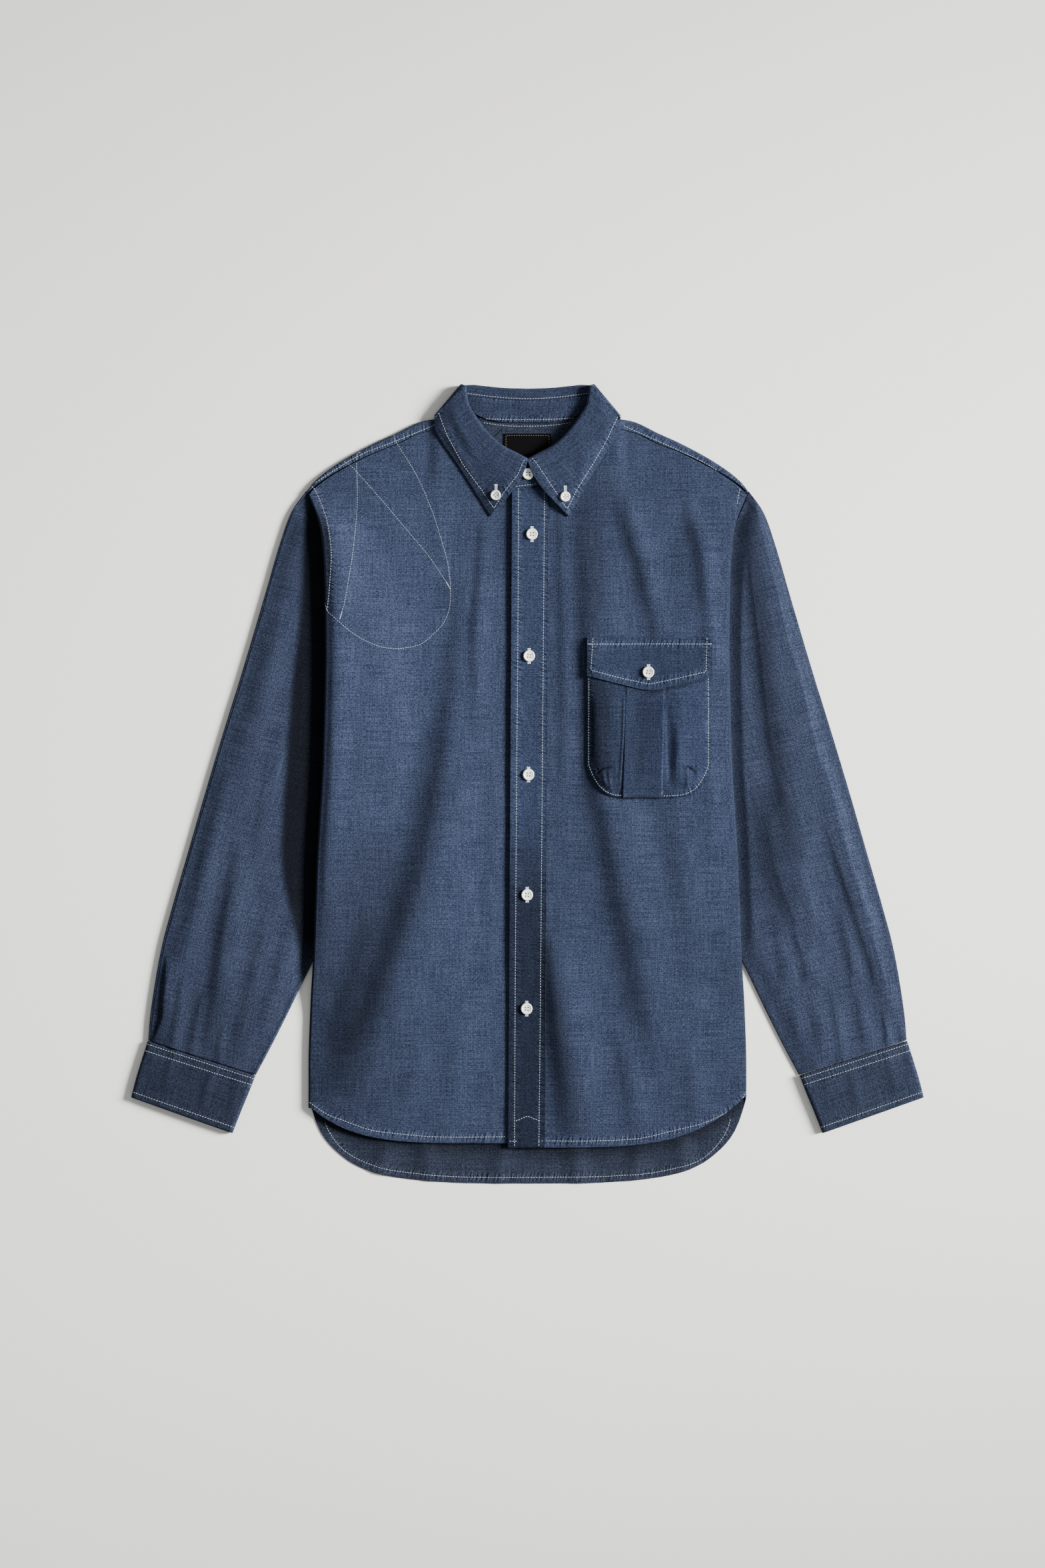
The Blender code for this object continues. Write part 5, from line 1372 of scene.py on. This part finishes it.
# ---- The buttons and buttonholes ---------------------------------------------------------------
# Nine four-hole buttons turned from pearly white plastic, with a raised rim, sewn on with crossed
# threads. Each one but the neck's sits in a buttonhole bound with close stitches.
Button = namedtuple("Button", "name x y diameter carrier hole")
BUTTON_WIDE, COLLAR_WIDE = 11.4, 10.0
BUTTONS = (
    Button("button_neck", 0.6, 306.4, BUTTON_WIDE, stand, None),
    Button("button_front_1", 4.3, 247.0, BUTTON_WIDE, placket, 0.0),
    Button("button_front_2", 1.5, 126.4, BUTTON_WIDE, placket, 0.0),
    Button("button_front_3", 0.9, 9.0, BUTTON_WIDE, placket, 0.0),
    Button("button_front_4", -0.5, -110.0, BUTTON_WIDE, placket, 0.0),
    Button("button_front_5", -0.9, -222.7, BUTTON_WIDE, placket, 0.0),
    Button("button_flap", 119.5, 110.3, BUTTON_WIDE, flap, 0.0),
    Button("button_collar_right", -31.4, 285.4, COLLAR_WIDE, leaf, 2.8),
    Button("button_collar_left", 37.2, 284.0, COLLAR_WIDE, leaf, 2.8),
)
# Turned profile: share of the radius and height over the underside.
Turned = namedtuple("Turned", "share z")
BUTTON_PROFILE = (
    Turned(0.0, 0.0), Turned(0.80, 0.0), Turned(0.93, 0.35), Turned(1.0, 0.95), Turned(0.99, 1.5),
    Turned(0.94, 1.95), Turned(0.87, 2.15), Turned(0.79, 2.1), Turned(0.71, 1.8), Turned(0.62, 1.6),
    Turned(0.3, 1.55), Turned(0.0, 1.55),
)
BUTTON_SPIN, BUTTON_HOLE, HOLE_SPIN, HOLE_OFFSET = 36, 0.78, 12, 1.35
SEAT_SHARE, SEAT_GAP, BOUND_GAP = 0.8, 0.1, 0.35       # how a button stands on the cloth or the bound hole
THREAD_CROSS = ((-1, -1, 1, 1), (-1, 1, 1, -1))
THREAD_REACH, THREAD_Z, THREAD_WIDE, THREAD_DEEP = 0.86, 1.62, 0.34, 0.30
HOLE_LENGTH, HOLE_WIDTH, HOLE_PITCH = 14.4, 2.3, 0.5
SLOT_HALF, BAR_IN, BAR_OUT = 0.25, 0.2, 0.7


def button_mesh():
    """A turned disc, pierced by four holes."""
    form = bmesh.new()
    ring = [form.verts.new((row.share * BUTTON_WIDE / 2 * MM, 0, row.z * MM)) for row in BUTTON_PROFILE]
    edges = [form.edges.new(pair) for pair in zip(ring[:-1], ring[1:])]
    bmesh.ops.spin(form, geom=ring + edges, cent=(0, 0, 0), axis=(0, 0, 1), angle=2 * math.pi,
                   steps=BUTTON_SPIN, use_merge=True)
    bmesh.ops.remove_doubles(form, verts=form.verts, dist=0.01 * MM)
    bmesh.ops.recalc_face_normals(form, faces=form.faces)
    blank = link_object("button_blank", end_form(form, "button_blank"))
    drill = bmesh.new()
    for side_x in (-1, 1):
        for side_y in (-1, 1):
            bmesh.ops.create_cone(drill, cap_ends=True, segments=HOLE_SPIN, radius1=BUTTON_HOLE * MM,
                                  radius2=BUTTON_HOLE * MM, depth=8 * MM,
                                  matrix=Matrix.Translation(Vector((side_x, side_y, 0)) * HOLE_OFFSET * MM))
    cutter = link_object("button_drill", end_form(drill, "button_drill"))
    cut = blank.modifiers.new("holes", "BOOLEAN")
    cut.object, cut.operation = cutter, "DIFFERENCE"
    pierced = bpy.data.meshes.new_from_object(blank.evaluated_get(bpy.context.evaluated_depsgraph_get()))
    bpy.data.objects.remove(blank)
    bpy.data.objects.remove(cutter)
    pierced.shade_smooth()
    pierced.set_sharp_from_angle(angle=math.radians(35))
    return pierced


def pearl_paint(name):
    """Pearly white plastic with faint cloudy bands."""
    paint, tree, shader = start_paint(name)
    cloudy = cloudy_noise(tree, 260.0, 2.0, 1.5)
    tree.links.new(blend(tree, cloudy, (0.62, 0.62, 0.58), (0.86, 0.86, 0.81)), shader.inputs["Base Color"])
    tree.links.new(calculate(tree, "MULTIPLY_ADD", cloudy, 0.2, 0.22), shader.inputs["Roughness"])
    shader.inputs["Coat Weight"].default_value = 0.3
    return paint


def seat(trees, x, y, reach):
    """Height and slope of the cloth under a disc."""
    middle = drop(trees, x, y)[0].z / MM
    samples = []
    for index in range(8):
        dx, dy = reach * math.cos(index * math.pi / 4), reach * math.sin(index * math.pi / 4)
        found = drop(trees, x + dx, y + dy)
        if found is not None:
            samples.append((dx, dy, found[0].z / MM))
    steep = 2 / (len(samples) * reach**2)
    slope_x = steep * sum(dx * (z - middle) for dx, dy, z in samples)
    slope_y = steep * sum(dy * (z - middle) for dx, dy, z in samples)
    above = max(max(z - middle - slope_x * dx - slope_y * dy for dx, dy, z in samples), 0)
    up = Vector((-slope_x, -slope_y, 1)).normalized()
    return Vector((x, y, middle + above)), up


blank_button = button_mesh()
button_paint = pearl_paint("button_pearl")
for button in BUTTONS:
    trees = surface_of(button.carrier)
    ground, up = seat(trees, button.x, button.y, button.diameter / 2 * SEAT_SHARE)
    turn = up.to_track_quat("Z", "Y").to_matrix().to_4x4()
    place = Matrix.Translation((ground + up * (SEAT_GAP if button.hole is None else BOUND_GAP)) * MM) @ turn
    wide = button.diameter / BUTTON_WIDE
    mesh = blank_button.copy()
    mesh.transform(place @ Matrix.Diagonal((wide, wide, 1, 1)))
    mesh.materials.append(button_paint)
    disc = link_object(button.name + "_disc", mesh)
    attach(disc, "root")
    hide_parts(button.name)
    form = bmesh.new()
    for x0, y0, x1, y1 in THREAD_CROSS:
        start = Vector((x0, y0, 0)) * HOLE_OFFSET * THREAD_REACH
        end = Vector((x1, y1, 0)) * HOLE_OFFSET * THREAD_REACH
        along = (end - start).normalized().to_track_quat("Z", "Y").to_matrix().to_4x4()
        bmesh.ops.create_uvsphere(form, u_segments=8, v_segments=6, radius=0.5 * MM,
                                  matrix=Matrix.Translation(Vector((0, 0, THREAD_Z)) * MM) @ along
                                  @ Matrix.Diagonal((THREAD_WIDE, THREAD_DEEP, (end - start).length, 1)))
    bmesh.ops.transform(form, matrix=place, verts=form.verts)
    mesh = end_form(form, button.name + "_thread")
    mesh.materials.append(white_thread)
    mesh.shade_smooth()
    cross = link_object(button.name + "_thread", mesh)
    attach(cross, "root")
bpy.data.meshes.remove(blank_button)


def buttonhole_rows(x, y, shift):
    """Close stitches down both sides of a slot, and a bar across each end."""
    rows = []
    count = int(HOLE_LENGTH / HOLE_PITCH)
    for index in range(count):
        at = y + shift - HOLE_LENGTH / 2 + HOLE_LENGTH * index / (count - 1)
        for low, high in ((-HOLE_WIDTH / 2, -SLOT_HALF), (SLOT_HALF, HOLE_WIDTH / 2)):
            rows.append(((x + low, at), (x + high, at)))
    for end in (-1, 1):
        for step in (-HOLE_PITCH, 0.0, HOLE_PITCH):
            at = y + shift + end * (HOLE_LENGTH / 2 - BAR_IN) + step
            rows.append(((x - HOLE_WIDTH / 2 - BAR_OUT, at), (x, at)))
            rows.append(((x, at), (x + HOLE_WIDTH / 2 + BAR_OUT, at)))
    return rows


for carrier, name in ((placket, "placket_buttonholes"), (flap, "pocket_flap_buttonhole"),
                      (leaf, "collar_buttonholes")):
    rows = []
    for button in BUTTONS:
        if button.carrier == carrier:
            rows += buttonhole_rows(button.x, button.y, button.hole)
    sewn(name, [carrier], rows, pitch=2.0, length=1.7, width=0.55, straight=True)


bpy.context.view_layer.update()
